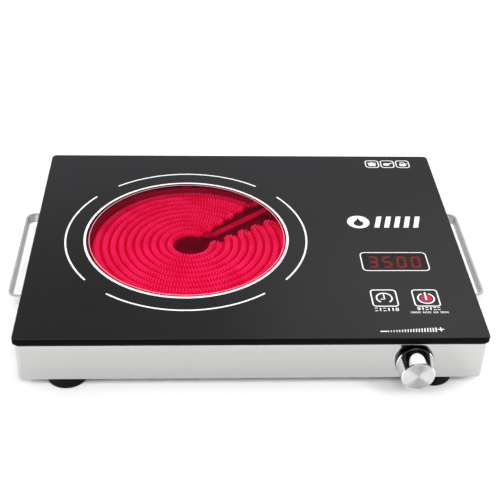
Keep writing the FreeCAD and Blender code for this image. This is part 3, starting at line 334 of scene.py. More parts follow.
def brushed_steel(name, low, high, rough):
    """Sheet steel brushed lengthways: streaks that run along the walls."""
    surface = Surface(name, metallic=1.0)
    streak = surface.grain(34, surface.place((0.14, 0.14, 60)), detail=4.0)
    broad = surface.grain(5, surface.place((0.2, 0.2, 14)), detail=2.0)
    both = surface.calc("MULTIPLY_ADD", streak, 0.5, surface.calc("MULTIPLY", broad, 0.5))
    surface.set(colour=surface.ramp(both, (0.35, low), (0.65, high)),
                roughness=surface.span(streak, *rough, start=0.3, end=0.7),
                normal=surface.bump(streak, 0.002))
    return surface.material


def from_knob_axis(surface):
    """Distance in metres from the axis that the knob turns on."""
    return surface.from_axis(x=KNOB.x, z=KNOB.z, stretch=(1, 0, 1))


def spun_aluminium():
    """The knob's face, turned on a lathe: fine rings about its axis, so that gloss spreads
    across them and light falls in two fans."""
    surface = Surface("spun aluminium", metallic=1.0, anisotropic=1.0, turned=0.25)
    rings = surface.add("TexNoise", {"W": from_knob_axis(surface), "Scale": 5200, "Detail": 2.0},
                        noise_dimensions="1D").outputs["Fac"]
    tangent = surface.add("Tangent", direction_type="RADIAL", axis="Y").outputs[0]
    surface.set(colour=surface.ramp(rings, (0.3, grey(0.86)), (0.7, grey(0.99))),
                roughness=surface.span(rings, 0.58, 0.66),
                normal=surface.bump(rings, 0.006), tangent=tangent)
    return surface.material


def chrome(name, rough):
    """Bright plating with a breath of haze."""
    surface = Surface(name, metallic=1.0)
    haze = surface.grain(220)
    surface.set(colour=surface.ramp(haze, (0.3, grey(0.86)), (0.7, grey(0.93))),
                roughness=surface.span(haze, *rough))
    return surface.material


def plating_with_painted_reflection():
    """Chrome with a painted dark reflection round its outside lip."""
    surface = Surface("escutcheon plating with painted reflection", metallic=1.0)
    haze = surface.grain(220)
    left, right = BOX["knob_escutcheon"]
    outside = (right.x - left.x) / 2
    # painted reflection: the outside lip is painted dark
    painted_reflection_starts, painted_reflection_full = outside - 0.8, outside - 0.45
    painted_dark_reflection = surface.span(from_knob_axis(surface), 0.0, 0.8, painted_reflection_starts * MM, painted_reflection_full * MM)
    haze_and_painted_reflection = surface.calc("MULTIPLY_ADD", haze, 0.2, painted_dark_reflection)
    surface.set(colour=surface.ramp(haze_and_painted_reflection, (0.06, grey(0.88)), (0.14, grey(0.92)),
                                    (0.85, grey(0.035))),
                roughness=surface.span(haze, 0.05, 0.10))
    return surface.material


def rubber_with_painted_shade():
    """Black rubber with open pores, painted darker than its own colour as shade from the case
    above.
    """
    surface = Surface("black rubber with painted shade", specular=0.08)
    pores = surface.cells(1500)
    cloud = surface.grain(60)
    # painted shade: darker than black rubber's own colour
    surface.set(colour=surface.ramp(cloud, (0.3, grey(0.004)), (0.7, grey(0.009))),
                roughness=surface.span(pores, 0.62, 0.85), normal=surface.bump(pores, 0.05))
    return surface.material


def galvanised():
    """Zinc-coated sheet with its crystal spangle."""
    surface = Surface("galvanised sheet", metallic=1.0)
    spangle = surface.add("TexVoronoi", {"Vector": surface.place(), "Scale": 120})
    level = surface.add("SeparateColor", {0: spangle.outputs["Color"]}).outputs[0]
    surface.set(colour=surface.ramp(level, (0.0, grey(0.42)), (1.0, (0.60, 0.61, 0.63))),
                roughness=surface.span(level, 0.30, 0.52),
                normal=surface.bump(surface.grain(260), 0.02))
    return surface.material


def circuit_board():
    """Green board with copper tracks and plated holes under its mask."""
    surface = Surface("circuit board", ior=1.5, coat=0.3)
    where = surface.place((1, 1, 0))
    track = surface.add("TexVoronoi", {"Vector": where, "Scale": 210, "Randomness": 0.35},
                        feature="DISTANCE_TO_EDGE").outputs["Distance"]
    line = surface.span(track, 1.0, 0.0, 0.05, 0.09)
    holes = surface.span(surface.cells(260, where), 1.0, 0.0, 0.10, 0.13)
    both = surface.calc("MAXIMUM", line, holes)
    surface.set(colour=surface.ramp(both, (0.0, (0.006, 0.055, 0.022)), (1.0, (0.03, 0.16, 0.06))),
                roughness=surface.span(both, 0.30, 0.45), normal=surface.bump(both, 0.04))
    return surface.material


def floor_paper():
    """Matt white background paper."""
    return grained("white paper", grey(0.93), grey(0.95), (0.9, 1.0), 240)


finishes = {
    "black_glass": black_glass(),
    "silicone": grained("black silicone", grey(0.010), grey(0.022), (0.5, 0.7), 300, depth=0.03),
    "black_rubber": rubber_with_painted_shade(),
    "black_nylon": grained("black nylon", grey(0.012), grey(0.020), (0.32, 0.46), 900, depth=0.02),
    "case_steel": brushed_steel("brushed steel", (0.47, 0.466, 0.46), (0.51, 0.506, 0.50),
                                (0.09, 0.14)),
    "galvanised_steel": galvanised(),
    "polished_chrome": chrome("polished chrome", (0.03, 0.07)),
    "spun_aluminium": spun_aluminium(),
    "zinc_screw": grained("zinc plating", (0.52, 0.54, 0.57), (0.70, 0.71, 0.73), (0.22, 0.38),
                          700, (1, 1, 3), 0.01, metallic=1.0),
    "brass": grained("brass", (0.62, 0.43, 0.16), (0.78, 0.58, 0.26), (0.22, 0.38), 500,
                     depth=0.01, metallic=1.0),
    "insulation": insulation("fibre ring", (0.36, 0.29, 0.28), (0.52, 0.43, 0.41)),
    # the wire's glow carries painted light toward the front, painted shade at the back rim and a
    # painted highlight on its crest
    "glowing_wire": hot_wire("glowing wire", (1.10, 0.008, 0.13), (1.62, 0.30, 0.70), painted_front_light_and_rim_shade,
                             painted_crest=True),
    "ceramic": grained("glazed ceramic", (0.70, 0.67, 0.60), (0.82, 0.80, 0.74), (0.25, 0.4), 160,
                       depth=0.03),
    "circuit_board": circuit_board(),
    "display_black": grained("black bezel plastic", grey(0.008), grey(0.014), (0.45, 0.6), 1100,
                             depth=0.02),
    "foam": grained("grey foam", grey(0.10), grey(0.24), (0.85, 1.0), 1600, depth=0.2, cells=True),
    "heat_sink_aluminium": grained("extruded aluminium", grey(0.62), grey(0.78), (0.28, 0.42), 60,
                                   (0.3, 12, 12), 0.01, metallic=1.0),
    "dark_plastic": grained("dark plastic", grey(0.018), grey(0.030), (0.4, 0.55), 1200,
                            depth=0.025),
    "yellow_plastic": grained("yellow film", (0.62, 0.42, 0.05), (0.74, 0.53, 0.09), (0.25, 0.4),
                              300, depth=0.02),
}
node_finishes = {
    "insulation_base": insulation("dark fibre floor", (0.16, 0.12, 0.12), (0.28, 0.22, 0.22)),
    "left_handle": brushed_steel("handle plating", grey(0.60), grey(0.76), (0.24, 0.36)),
    "knob_escutcheon": plating_with_painted_reflection(),
}
node_finishes["right_handle"] = node_finishes["left_handle"]

for name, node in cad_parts.items():
    for slot in node.material_slots:
        slot.material = node_finishes.get(name) or finishes[slot.material.name]


# ---------------------------------------------------------------- outlines

SHARPEST = 0.001                      # smallest radius of a corner


def polar(radius, degrees, centre=(0, 0)):
    """A point at this distance and direction from the centre."""
    angle = math.radians(degrees)
    return (centre[0] + radius * math.cos(angle), centre[1] + radius * math.sin(angle))


def arc_points(centre, radius, start, end, step):
    """Points on an arc between two angles, no more than step degrees apart."""
    count = max(2, math.ceil(abs(end - start) / step))
    return [polar(radius, start + (end - start) * index / count, centre)
            for index in range(count + 1)]


def disc(centre, radius, step):
    """A round outline that can grow by some millimetres."""
    return lambda grow=0: arc_points(centre, radius + grow, 0, 360, step)[:-1]


def rounded(centre, width, depth, corner):
    """A rectangle with round corners that can grow by some millimetres."""
    def outline(grow=0):
        radius = max(corner + grow, SHARPEST)
        points = []
        for side, (x, y) in enumerate([(1, 1), (-1, 1), (-1, -1), (1, -1)]):
            middle = (centre[0] + x * (width / 2 - corner), centre[1] + y * (depth / 2 - corner))
            points += arc_points(middle, radius, side * 90, side * 90 + 90, 7.5)
        return points
    return outline


def shape(points):
    """An outline of given points, which doesn't grow."""
    return lambda grow=0: points


def ribbon(points, width):
    """The outline of a line of this width, with round ends."""
    path = [Vector(point) for point in points]
    half = width / 2
    left, right = [], []
    for index, point in enumerate(path):
        ahead = path[min(index + 1, len(path) - 1)] - path[max(index - 1, 0)]
        across = Vector((-ahead.y, ahead.x)).normalized() * half
        left.append(tuple(point + across))
        right.append(tuple(point - across))

    def cap(end, before):
        heading = math.degrees(math.atan2(*reversed(end - before)))
        return arc_points(end, half, heading + 90, heading - 90, 30)[1:-1]

    return shape(left + cap(path[-1], path[-2]) + right[::-1] + cap(path[0], path[1]))


# ---------------------------------------------------------------- shells

class Form:
    """Closed shells collected into one piece."""

    def __init__(self):
        self.mesh = bmesh.new()

    def loop(self, points, height):
        """A level row of new vertices."""
        return [self.mesh.verts.new((x * MM, y * MM, height * MM)) for x, y in points]

    def bridge(self, low, high, material):
        """A strip of faces between two loops."""
        for index, corner in enumerate(low):
            after = (index + 1) % len(low)
            face = self.mesh.faces.new((corner, low[after], high[after], high[index]))
            face.material_index = material

    def fill(self, loops):
        """Level faces inside the first loop and outside the others."""
        edges = [self.mesh.edges.get((loop[index - 1], loop[index]))
                 for loop in loops for index in range(len(loop))]
        bmesh.ops.triangle_fill(self.mesh, use_beauty=True, edges=edges)

    def plate(self, *contours):
        """A flat plate. Each contour is an outline and its rows from below to above, and a
        row is (growth, height, material of the strip below it); holes come after the outside."""
        below, above = [], []
        for outline, rows in contours:
            loops = [self.loop(outline(grow), height) for grow, height, _ in rows]
            for low, high, (_, _, material) in zip(loops, loops[1:], rows[1:]):
                self.bridge(low, high, material)
            below.append(loops[0])
            above.append(loops[-1])
        self.fill(below)
        self.fill(above)
        return self

    def slab(self, outer, low, high, holes=()):
        """A flat plate with upright sides."""
        rows = [(0, low, 0), (0, high, 0)]
        return self.plate(*[(outline, rows) for outline in (outer, *holes)])

    def piece(self, name, *materials, body="housing", smooth=35, replaces=(), slot=None):
        """The finished object, on its body; edges sharper than smooth degrees stay sharp."""
        bmesh.ops.recalc_face_normals(self.mesh, faces=self.mesh.faces)
        mesh = bpy.data.meshes.new(name)
        self.mesh.to_mesh(mesh)
        self.mesh.free()
        for material in materials:
            mesh.materials.append(material)
        mesh.shade_smooth()
        mesh.set_sharp_from_angle(angle=math.radians(smooth))
        piece = bpy.data.objects.new(name, mesh)
        bpy.context.scene.collection.objects.link(piece)
        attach(piece, body)
        if replaces:
            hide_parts(*replaces)


# ---------------------------------------------------------------- the glass top

ZONE_CENTRE = (HEATER.x - 3.7, HEATER.y - 0.5)   # the heater lies a little off the print
ZONE_RADIUS = 90.8                    # seam between the black glass and the round window
ZONE_STEP = 1.5                       # degrees between points of the large circles
DISPLAY_AT = (DISPLAY.x + 0.5, DISPLAY.y - 1.0)
WINDOW_SIZE = (58.2, 27.0, 4.0)       # display window: width, depth, corner
GLASS_CORNER = 4.5                    # corner radius of the sheet
EDGE_ROUND = 0.9                      # rounding of the sheet's upper edge
EDGE_STEPS = 5
GROUND_STEPS = 3                      # how many of them have the ground finish
EDGE_EASE = 0.35                      # chamfer of its lower edge
MARGIN = 0.4                          # flat strip inside both edges, which keeps faces flat
POLISHED, GROUND = 0, 1               # material slots of the sheet
PANE = 0.8                            # thickness of the display's own pane
SPLAY = 7.8                           # how much wider the round window is below than above
SEAM = 0.3                            # straight part at the top of the seam


def edge_profile():
    """Rows of the glass sheet's edge: chamfered below and rounded above."""
    rows = [(-EDGE_EASE - MARGIN, UNDER, POLISHED), (-EDGE_EASE, UNDER, POLISHED),
            (0, UNDER + EDGE_EASE, GROUND), (0, TOP - EDGE_ROUND, GROUND)]
    for step in range(1, EDGE_STEPS + 1):
        angle = math.radians(90 * step / EDGE_STEPS)
        inward = EDGE_ROUND * (1 - math.cos(angle))
        height = TOP - EDGE_ROUND * (1 - math.sin(angle))
        rows.append((-inward, height, GROUND if step <= GROUND_STEPS else POLISHED))
    rows.append((-EDGE_ROUND - MARGIN, TOP, POLISHED))
    return rows


def window_outline():
    """The display window, with a fine joint round it."""
    width, depth, corner = WINDOW_SIZE
    return rounded(DISPLAY_AT, width - FINE * 2, depth - FINE * 2, corner)


def make_glass():
    """The black sheet, the round window in it and the display's pane."""
    sheet = rounded(box_middle("glass_panel"), GLASS_HIGH.x - GLASS_LOW.x,
                    GLASS_HIGH.y - GLASS_LOW.y, GLASS_CORNER)
    zone = disc(ZONE_CENTRE, ZONE_RADIUS, ZONE_STEP)
    opening = rounded(DISPLAY_AT, *WINDOW_SIZE)
    splayed = [(SPLAY, UNDER, POLISHED), (0, TOP - SEAM, GROUND), (0, TOP, GROUND)]
    upright = [(0, UNDER, POLISHED), (0, TOP, GROUND)]
    surround = Form().plate((sheet, edge_profile()), (zone, splayed), (opening, upright))
    surround.piece("glass_surround", finishes["black_glass"], ground_edge(), smooth=30,
                   replaces=["glass_panel"], slot="black_glass")

    clear = see_through("zone glass", (0.74, 0.235, 0.41), 1.08, (0.04, 0.10))
    one_material = [(grow, height, 0) for grow, height, _ in splayed]
    window = Form().plate((disc(ZONE_CENTRE, ZONE_RADIUS - FINE, ZONE_STEP), one_material))
    window.piece("zone_window", clear, replaces=["glass_panel"], slot="black_glass")

    smoked = see_through("display glass", (0.5, 0.46, 0.47), 1.36, (0.05, 0.12))
    pane = Form().slab(window_outline(), TOP - PANE, TOP)
    pane.piece("display_window", smoked, replaces=["glass_panel"], slot="black_glass")


make_glass()


# ---------------------------------------------------------------- prints on the glass

INK = 0.06                            # how far the prints stand above the glass
UNDERPRINT = 0.03                     # the same for a print that lies under another
ink_white = print_ink("white enamel", (0.84, 0.84, 0.84))
ink_red = print_ink("red enamel", (0.40, 0.008, 0.035))
ink_pink = print_ink("pale red enamel", (0.86, 0.36, 0.42))


def printed(name, shapes, ink=ink_white, high=INK):
    """A print: each shape is an outline, or (outline, holes)."""
    form = Form()
    for item in shapes:
        outer, holes = item if isinstance(item, tuple) else (item, ())
        form.slab(outer, TOP, TOP + high, holes)
    form.piece(name, ink)


def ring_line(centre, outer, inner):
    """A ring between two radii."""
    return (disc(centre, outer, ZONE_STEP), [disc(centre, inner, ZONE_STEP)])


def frame_line(centre, width, depth, corner, line):
    """A frame of this size over all; line is its width."""
    inside = rounded(centre, width - line * 2, depth - line * 2, corner - line)
    return (rounded(centre, width, depth, corner), [inside])


def print_zone():
    """The ring round the heater, a fine pale red line inside it and four arcs outside."""
    x, y = ZONE_CENTRE
    printed("print_zone_ring", [ring_line(ZONE_CENTRE, 91.85, 89.75)])
    printed("print_zone_line", [ring_line((x + 0.4, y - 0.1), 87.6, 87.05)], ink_pink)
    radius, reach, line = 107.75, 37.5, 1.6
    printed("print_zone_arcs",
            [ribbon(arc_points(ZONE_CENTRE, radius, middle - reach, middle + reach, ZONE_STEP),
                    line)
             for middle in (0, 90, 180, 270)])


TIMER_LOW, TIMER_HIGH = BOX["timer_touch_pad"]
POWER_LOW, POWER_HIGH = BOX["power_touch_pad"]
KEY_Y = (TIMER_LOW.y + TIMER_HIGH.y) / 2 - 1.2
TIMER = ((TIMER_LOW.x + TIMER_HIGH.x) / 2, KEY_Y)
POWER = ((POWER_LOW.x + POWER_HIGH.x) / 2, KEY_Y)
KEY_FRAME = (22.2, 23.2, 3.5, 1.1)    # width, depth, corner, line
DISPLAY_FRAME = (59.2, 28.0, 4.5, 1.0)
PICTOGRAM_FRAME = (14.0, 14.5, 3.5, 1.1)


def print_controls():
    """The display's frame and the two keys: a clock and a power mark."""
    printed("print_display_frame", [frame_line(DISPLAY_AT, *DISPLAY_FRAME)])

    x, y = TIMER
    hub = y - 1.6
    dial = arc_points(TIMER, 6.5, -52, 232, 6)
    hands = [(x, y + 4.5), (x, hub), (x - 2.7, hub)]
    printed("print_timer_key",
            [frame_line(TIMER, *KEY_FRAME), ribbon(dial, 1.3), ribbon(hands, 1.1)])

    x, y = POWER
    mark = (x, y - 0.6)
    open_ring = arc_points(mark, 6.8, 118, 422, 6)
    stroke = [(x, y + 7.0), (x, y - 2.0)]
    printed("print_power_key",
            [frame_line(POWER, *KEY_FRAME), ribbon(open_ring, 1.25), ribbon(stroke, 1.5)])
    printed("print_power_disc", [disc(mark, 5.2, 6)], ink_red, UNDERPRINT)


def marks(left, right, low, high, kinds, line):
    """A row of small abstract marks: o a frame, i a bar, e two level bars, a gap."""
    pitch = (right - left) / len(kinds)
    width, height, middle = pitch * 0.74, high - low, (low + high) / 2
    shapes = []
    for index, kind in enumerate(kinds):
        x = left + pitch * (index + 0.5)
        if kind == "o":
            shapes.append(frame_line((x, middle), width, height, line * 1.2, line))
        if kind == "i":
            shapes.append(rounded((x, middle), line * 1.3, height, line * 0.3))
        if kind == "e":
            for level in (low + line / 2, high - line / 2):
                shapes.append(rounded((x, level), width, line, line * 0.3))
    return shapes


def print_captions():
    """Rows of marks where words would stand."""
    large, small = 0.75, 0.55
    rows = (
        (TIMER[0], -10.5, 10.2, -17.4, -13.3, "eieiio", large),
        (POWER[0], -10.1, 9.9, -16.2, -12.6, "oieiee", large),
        (POWER[0], -16.3, 15.6, -20.4, -18.4, "eiieie iieie iei eieii", small),
    )
    shapes = []
    for x, left, right, low, high, kinds, line in rows:
        shapes += marks(x + left, x + right, KEY_Y + low, KEY_Y + high, kinds, line)
    printed("print_key_captions", shapes)


def print_scale():
    """A minus, a row of ticks that grow and lean more and more, and a plus."""
    base = -132.9
    minus = rounded((104.6, base + 0.95), 5.6, 1.2, 0.3)
    shapes = [minus]

    ticks, first, last = 18, 108.3, 146.8
    for index in range(ticks):
        share = index / (ticks - 1)
        x = first + (last - first) * share
        width = 0.72 + 0.28 * share
        height = 2.0 + 3.4 * share
        lean = 0.8 * share
        shapes.append(shape([(x - width / 2, base), (x + width / 2, base),
                             (x + width / 2 + lean, base + height),
                             (x - width / 2 + lean, base + height)]))

    x, y = 151.2, base + 3.2
    arm, half = 2.6, 0.5
    plus = [(-arm, -half), (-half, -half), (-half, -arm), (half, -arm), (half, -half),
            (arm, -half), (arm, half), (half, half), (half, arm), (-half, arm),
            (-half, half), (-arm, half)]
    shapes.append(shape([(x + px, y + py) for px, py in plus]))
    printed("print_level_scale", shapes)


def print_pictograms():
    """Three small framed pictograms of what may stand on the zone."""
    y = GLASS_HIGH.y - 16.3
    xs = (131.5, 147.0, 162.5)
    shapes = [frame_line((x, y), *PICTOGRAM_FRAME) for x in xs]
    pot, pan, kettle = xs
    shapes += [rounded((pot, y - 1.4), 7.2, 4.8, 1.0), rounded((pot, y + 2.0), 8.6, 1.1, 0.4),
               disc((pot, y + 3.4), 0.8, 20)]
    shapes += [rounded((pan - 1.0, y - 0.6), 6.0, 4.4, 1.6),
               ribbon([(pan + 2.2, y + 0.4), (pan + 4.6, y + 2.6)], 1.1)]
    shapes += [rounded((kettle, y - 1.6), 6.6, 4.4, 1.8),
               ribbon(arc_points((kettle, y + 0.9), 2.5, 0, 180, 15), 0.9),
               ribbon([(kettle + 3.6, y - 0.6), (kettle + 4.6, y + 1.2)], 0.9)]
    printed("print_pictograms", shapes)


def print_emblem():
    """A plain decoration: a flame in a round field, and slanted bars."""
    x, y = DISPLAY.x - 23.6, DISPLAY.y + 61.7
    field = 10.4
    flame = ([polar(4.6, angle, (x, y - 2.2)) for angle in range(-180, 1, 15)]
             + [(x + 4.2, y - 0.2), (x + 2.9, y + 1.7), (x + 2.2, y + 0.6), (x + 1.7, y + 3.4),
                (x - 0.6, y + 6.8), (x - 0.9, y + 3.6), (x - 2.6, y + 1.9), (x - 4.1, y - 0.1)])
    shapes = [(disc((x, y), field, 4), [shape(flame)])]
    bars, thick, pitch, slant = 5, 4.6, 9.0, 4.6
    low, high = y - field + 1.2, y + field - 1.2
    first = x + field + 3.4
    for index in range(bars):
        left = first + index * pitch
        shapes.append(shape([(left, low), (left + thick, low), (left + thick + slant, high),
                             (left + slant, high)]))
    printed("print_emblem", shapes)


print_zone()
print_controls()
print_captions()
print_scale()
print_pictograms()
print_emblem()


# ---------------------------------------------------------------- the display

READING = "3500"
DIGITS_X = DISPLAY.x + 0.7            # middle of the number
DIGIT_PITCH = 12.6
DIGIT_SIZE = (8.6, 16.8)              # width, height
DIGIT_LEAN = 0.065                    # sideways per height
DIGIT_TOP = TOP - 1.2
DIGIT_THICK = 0.4
SEGMENT = 2.1                         # width of a bar
SEGMENT_GAP = 0.35                    # between a bar's end and the corner of the digit
MASK_GAP = 0.05                       # between the digits and the black plate
LIT = {"3": "abcdg", "5": "acdfg", "0": "abcdef"}


def segment(x, y, length, upright):
    """A six-sided bar, before it leans with its digit."""
    half, thick = length / 2, SEGMENT / 2
    points = [(-half, 0), (thick - half, -thick), (half - thick, -thick), (half, 0),
              (half - thick, thick), (thick - half, thick)]
    if upright:
        points = [(-py, px) for px, py in points]
    return [(x + px, y + py) for px, py in points]


def make_display():
    """Lit digits on a black plate, close under the pane."""
    width, depth = DIGIT_SIZE
    side, step = (width - SEGMENT) / 2, (depth - SEGMENT) / 2
    places = {"a": (0, step, 0), "b": (side, step / 2, 1), "c": (side, -step / 2, 1),
              "d": (0, -step, 0), "e": (-side, -step / 2, 1), "f": (-side, step / 2, 1),
              "g": (0, 0, 0)}
    form = Form()
    for index, digit in enumerate(READING):
        x = DIGITS_X + (index - (len(READING) - 1) / 2) * DIGIT_PITCH
        for letter in LIT[digit]:
            dx, dy, upright = places[letter]
            length = (step if upright else side * 2) - SEGMENT_GAP * 2 + SEGMENT * 0.3
            bar = [(x + px + py * DIGIT_LEAN, DISPLAY.y + py)
                   for px, py in segment(dx, dy, length, upright)]
            form.slab(shape(bar), DIGIT_TOP - DIGIT_THICK, DIGIT_TOP)
    form.piece("display_digits", lit_segment())

    plate = Form().slab(window_outline(), UNDER, DIGIT_TOP - DIGIT_THICK - MASK_GAP)
    plate.piece("display_mask", finishes["display_black"])


make_display()


# ---------------------------------------------------------------- the heating element

RINGS = 10
FIRST_RING = 19.0                     # radius of the innermost ring
RING_PITCH = 7.25
LEAD = 40.5                           # direction of the lead channel, in degrees
LEAD_LENGTH = 106.0                   # from the middle to the outer end of the leads
LEAD_IN = (10.0, 1.8)                 # radius of its bend, distance from the channel's axis
LEAD_OUT = (6.0, -12.0)
UPPER_SIDE = (6.0, 0.135)             # how far the channel's side is from its axis at the
LOWER_SIDE = (13.0, 0.11)             # middle, and what each millimetre outwards adds
TUBE = COIL_HIGH.z - COIL_LOW.z       # thickness of the wound wire
WIRE = 1.2                            # thickness of the wire itself
WIRE_SIDES = 5
TURN = 2.8                            # distance between turns
TURN_STEPS = 12                       # points in a turn
SLACK = 0.05                          # share by which a turn can be tighter than the others
COIL_Z = (COIL_LOW.z + COIL_HIGH.z) / 2
COIL_CENTRE = Vector((HEATER.x, HEATER.y))


class Straight:
    """A straight part of a route; at gives the point and the direction at a distance."""

    def __init__(self, start, end):
        self.start, self.way = Vector(start), Vector(end) - Vector(start)
        self.length = self.way.length

    def at(self, distance):
        return self.start + self.way * (distance / self.length), self.way.normalized()


class Bend:
    """Part of a circle, from one angle in degrees to another."""

    def __init__(self, centre, radius, start, end):
        self.centre, self.radius, self.start = Vector(centre), radius, math.radians(start)
        self.sign = 1 if end > start else -1
        self.length = radius * math.radians(abs(end - start))

    def at(self, distance):
        angle = self.start + self.sign * distance / self.radius
        out = Vector((math.cos(angle), math.sin(angle)))
        return self.centre + out * self.radius, Vector((-out.y, out.x)) * self.sign


def along(distance, offset):
    """A point on a line beside the lead channel's axis."""
    return Vector(polar(distance, LEAD)) + Vector(polar(offset, LEAD - 90))


def lead_route(radius, bend, offset):
    """A straight lead and the bend that joins it to a ring, and the angle of the joint."""
    turn = math.degrees(math.asin((bend - offset) / (radius + bend)))
    centre = Vector(polar(radius + bend, LEAD + turn))
    arrive = centre + Vector(polar(bend, LEAD - 90))
    return [Straight(along(LEAD_LENGTH, offset), arrive),
            Bend(centre, bend, LEAD - 90, LEAD + turn - 180)], LEAD + turn


def turning_angle(radius, upper):
    """The angle at which the channel's upper or lower side crosses this radius; there a
    half circle joins two rings."""
    start, growth = UPPER_SIDE if upper else LOWER_SIDE
    turn = math.degrees(math.asin((start + growth * radius) / radius))
    return LEAD + turn if upper else LEAD - turn + 360


lead_in, first_angle = lead_route(FIRST_RING, *LEAD_IN)
lead_out, last_angle = lead_route(FIRST_RING + RING_PITCH * (RINGS - 1), *LEAD_OUT)


def ring_route():
    """Rings that turn back at the channel, from the inside outwards."""
    route, angle = [], first_angle
    for index in range(RINGS):
        radius = FIRST_RING + RING_PITCH * index
        forward = index % 2 == 0
        last = index == RINGS - 1
        middle = radius + RING_PITCH / 2
        end = last_angle if last else turning_angle(middle, not forward)
        route.append(Bend((0, 0), radius, angle, end))
        if not last:
            begin = end + 180 if forward else end - 180
            route.append(Bend(polar(middle, end), RING_PITCH / 2, begin, end))
        angle = end
    return route


def spring_line(route):
    """Points along a wire wound in a long spring about a route, and the way out at each."""
    total = sum(part.length for part in route)
    count = round(total / TURN * TURN_STEPS)
    radius = (TUBE - WIRE) / 2
    part, done = 0, 0.0
    points, outs = [], []
    for index in range(count + 1):
        distance = total * index / count
        while part < len(route) - 1 and distance > done + route[part].length:
            done += route[part].length
            part += 1
        point, way = route[part].at(min(distance - done, route[part].length))
        angle = 2 * math.pi * index / TURN_STEPS
        side = Vector((-way.y, way.x, 0))
        out = side * math.cos(angle) + Vector((0, 0, 1)) * math.sin(angle)
        wobble = 1 + SLACK * noise.noise(Vector((distance * 0.21, 3.7, 0)))
        base = Vector((point.x + COIL_CENTRE.x, point.y + COIL_CENTRE.y, COIL_Z))
        points.append(base + out * radius * min(wobble, 1.0))
        outs.append(out)
    return points, outs


def wind(name, route, material):
    """Wound wire in place of the CAD coil."""
    points, outs = spring_line(route)
    form = Form()
    rings = []
    for index, (point, out) in enumerate(zip(points, outs)):
        ahead = points[min(index + 1, len(points) - 1)]
        way = (ahead - points[max(index - 1, 0)]).normalized()
        across = way.cross(out).normalized()
        up = across.cross(way)
        ring = []
        for side in range(WIRE_SIDES):
            angle = 2 * math.pi * side / WIRE_SIDES
            spot = point + (up * math.cos(angle) + across * math.sin(angle)) * WIRE / 2
            ring.append(form.mesh.verts.new(spot * MM))
        rings.append(ring)
    for ring, following in zip(rings, rings[1:]):
        form.bridge(ring, following, 0)
    form.mesh.faces.new(rings[0][::-1])
    form.mesh.faces.new(rings[-1])
    form.piece(name, material, smooth=80, replaces=["heating_coil"], slot="glowing_wire")


def make_coil():
    """The rings and their two leads."""
    wind("coil_rings", ring_route(), finishes["glowing_wire"])
    dim = hot_wire("lead wire", (0.72, 0.016, 0.09), (1.10, 0.10, 0.26), lead_glow)
    wind("coil_lead_in", lead_in, dim)
    wind("coil_lead_out", lead_out, dim)


BED_INNER = FIRST_RING - 3.0
BED_OUTER = WALL_RADIUS - 1.4
BED_ROWS, BED_COLUMNS = 96, 220
BED_FLOOR = COIL_LOW.z + 0.05         # underside of the fibre bed
GROOVE = 0.25                         # thickness of the bed under a ring
RIDGE = 1.9                           # how far it rises between two rings
BED_ROUGH = 0.18                      # unevenness of the pressed fibre
BED_REACH = 1.0                       # how far the bed goes past the channel's sides


def bed_ends(radius):
    """The angles between which the bed lies at this radius."""
    spread = math.degrees(BED_REACH / radius)
    start = turning_angle(max(radius, FIRST_RING), True) - spread
    return start, turning_angle(max(radius, FIRST_RING), False) + spread


def bed_height(radius, angle):
    """The top of the bed: a groove under each ring and a ridge between rings."""
    wave = (1 - math.cos(2 * math.pi * (radius - FIRST_RING) / RING_PITCH)) / 2
    x, y = polar(radius, angle)
    rough = noise.noise(Vector((x, y, 0)) * 0.55) * BED_ROUGH
    return BED_FLOOR + GROOVE + RIDGE * wave + rough


def make_bed():
    """The grooved fibre bed that the rings lie in, open along the lead channel."""
    grid = []
    for row in range(BED_ROWS + 1):
        radius = BED_INNER + (BED_OUTER - BED_INNER) * row / BED_ROWS
        start, end = bed_ends(radius)
        line = []
        for column in range(BED_COLUMNS + 1):
            angle = start + (end - start) * column / BED_COLUMNS
            x, y = polar(radius, angle, COIL_CENTRE)
            line.append((x * MM, y * MM, bed_height(radius, angle) * MM))
        grid.append(line)

    form = Form()
    corner, face = form.mesh.verts.new, form.mesh.faces.new
    top = [[corner(spot) for spot in line] for line in grid]
    low = [[corner((x, y, BED_FLOOR * MM)) for x, y, _ in line] for line in grid]
    for surface in (top, low):
        for row, after in zip(surface, surface[1:]):
            for column in range(BED_COLUMNS):
                face((row[column], row[column + 1], after[column + 1], after[column]))

    def rim(surface):
        """The grid's outline, once round."""
        right = [line[-1] for line in surface[:-1]]
        left = [line[0] for line in surface[:0:-1]]
        return surface[0][:-1] + right + surface[-1][:0:-1] + left

    form.bridge(rim(low), rim(top), 0)
    # the bed's glow is painted light from the wire
    form.piece("coil_bed", fibre_with_painted_glow(), smooth=60, slot="insulation")


make_coil()
make_bed()


# ---------------------------------------------------------------- studio

def make_floor():
    """A round white floor, wide enough to fill the view from the front."""
    floor = bmesh.new()
    bmesh.ops.create_circle(floor, cap_ends=True, segments=128, radius=2.4)
    mesh = bpy.data.meshes.new("studio_floor")
    floor.to_mesh(mesh)
    floor.free()
    mesh.materials.append(floor_paper())
    stage = bpy.data.objects.new("studio_floor", mesh)
    bpy.context.scene.collection.objects.link(stage)


def make_lamp(name, position, target, size, watts):
    """A soft lamp that no gloss mirrors: the studio walls alone show in the metal and glass."""
    lamp = bpy.data.lights.new(name, "AREA")
    lamp.shape = "SQUARE"
    lamp.size = size
    lamp.energy = watts
    holder = bpy.data.objects.new(name, lamp)
    holder.location = position
    holder.visible_glossy = False
    way = Vector(target) - Vector(position)
    holder.rotation_euler = way.to_track_quat("-Z", "Y").to_euler()
    bpy.context.scene.collection.objects.link(holder)


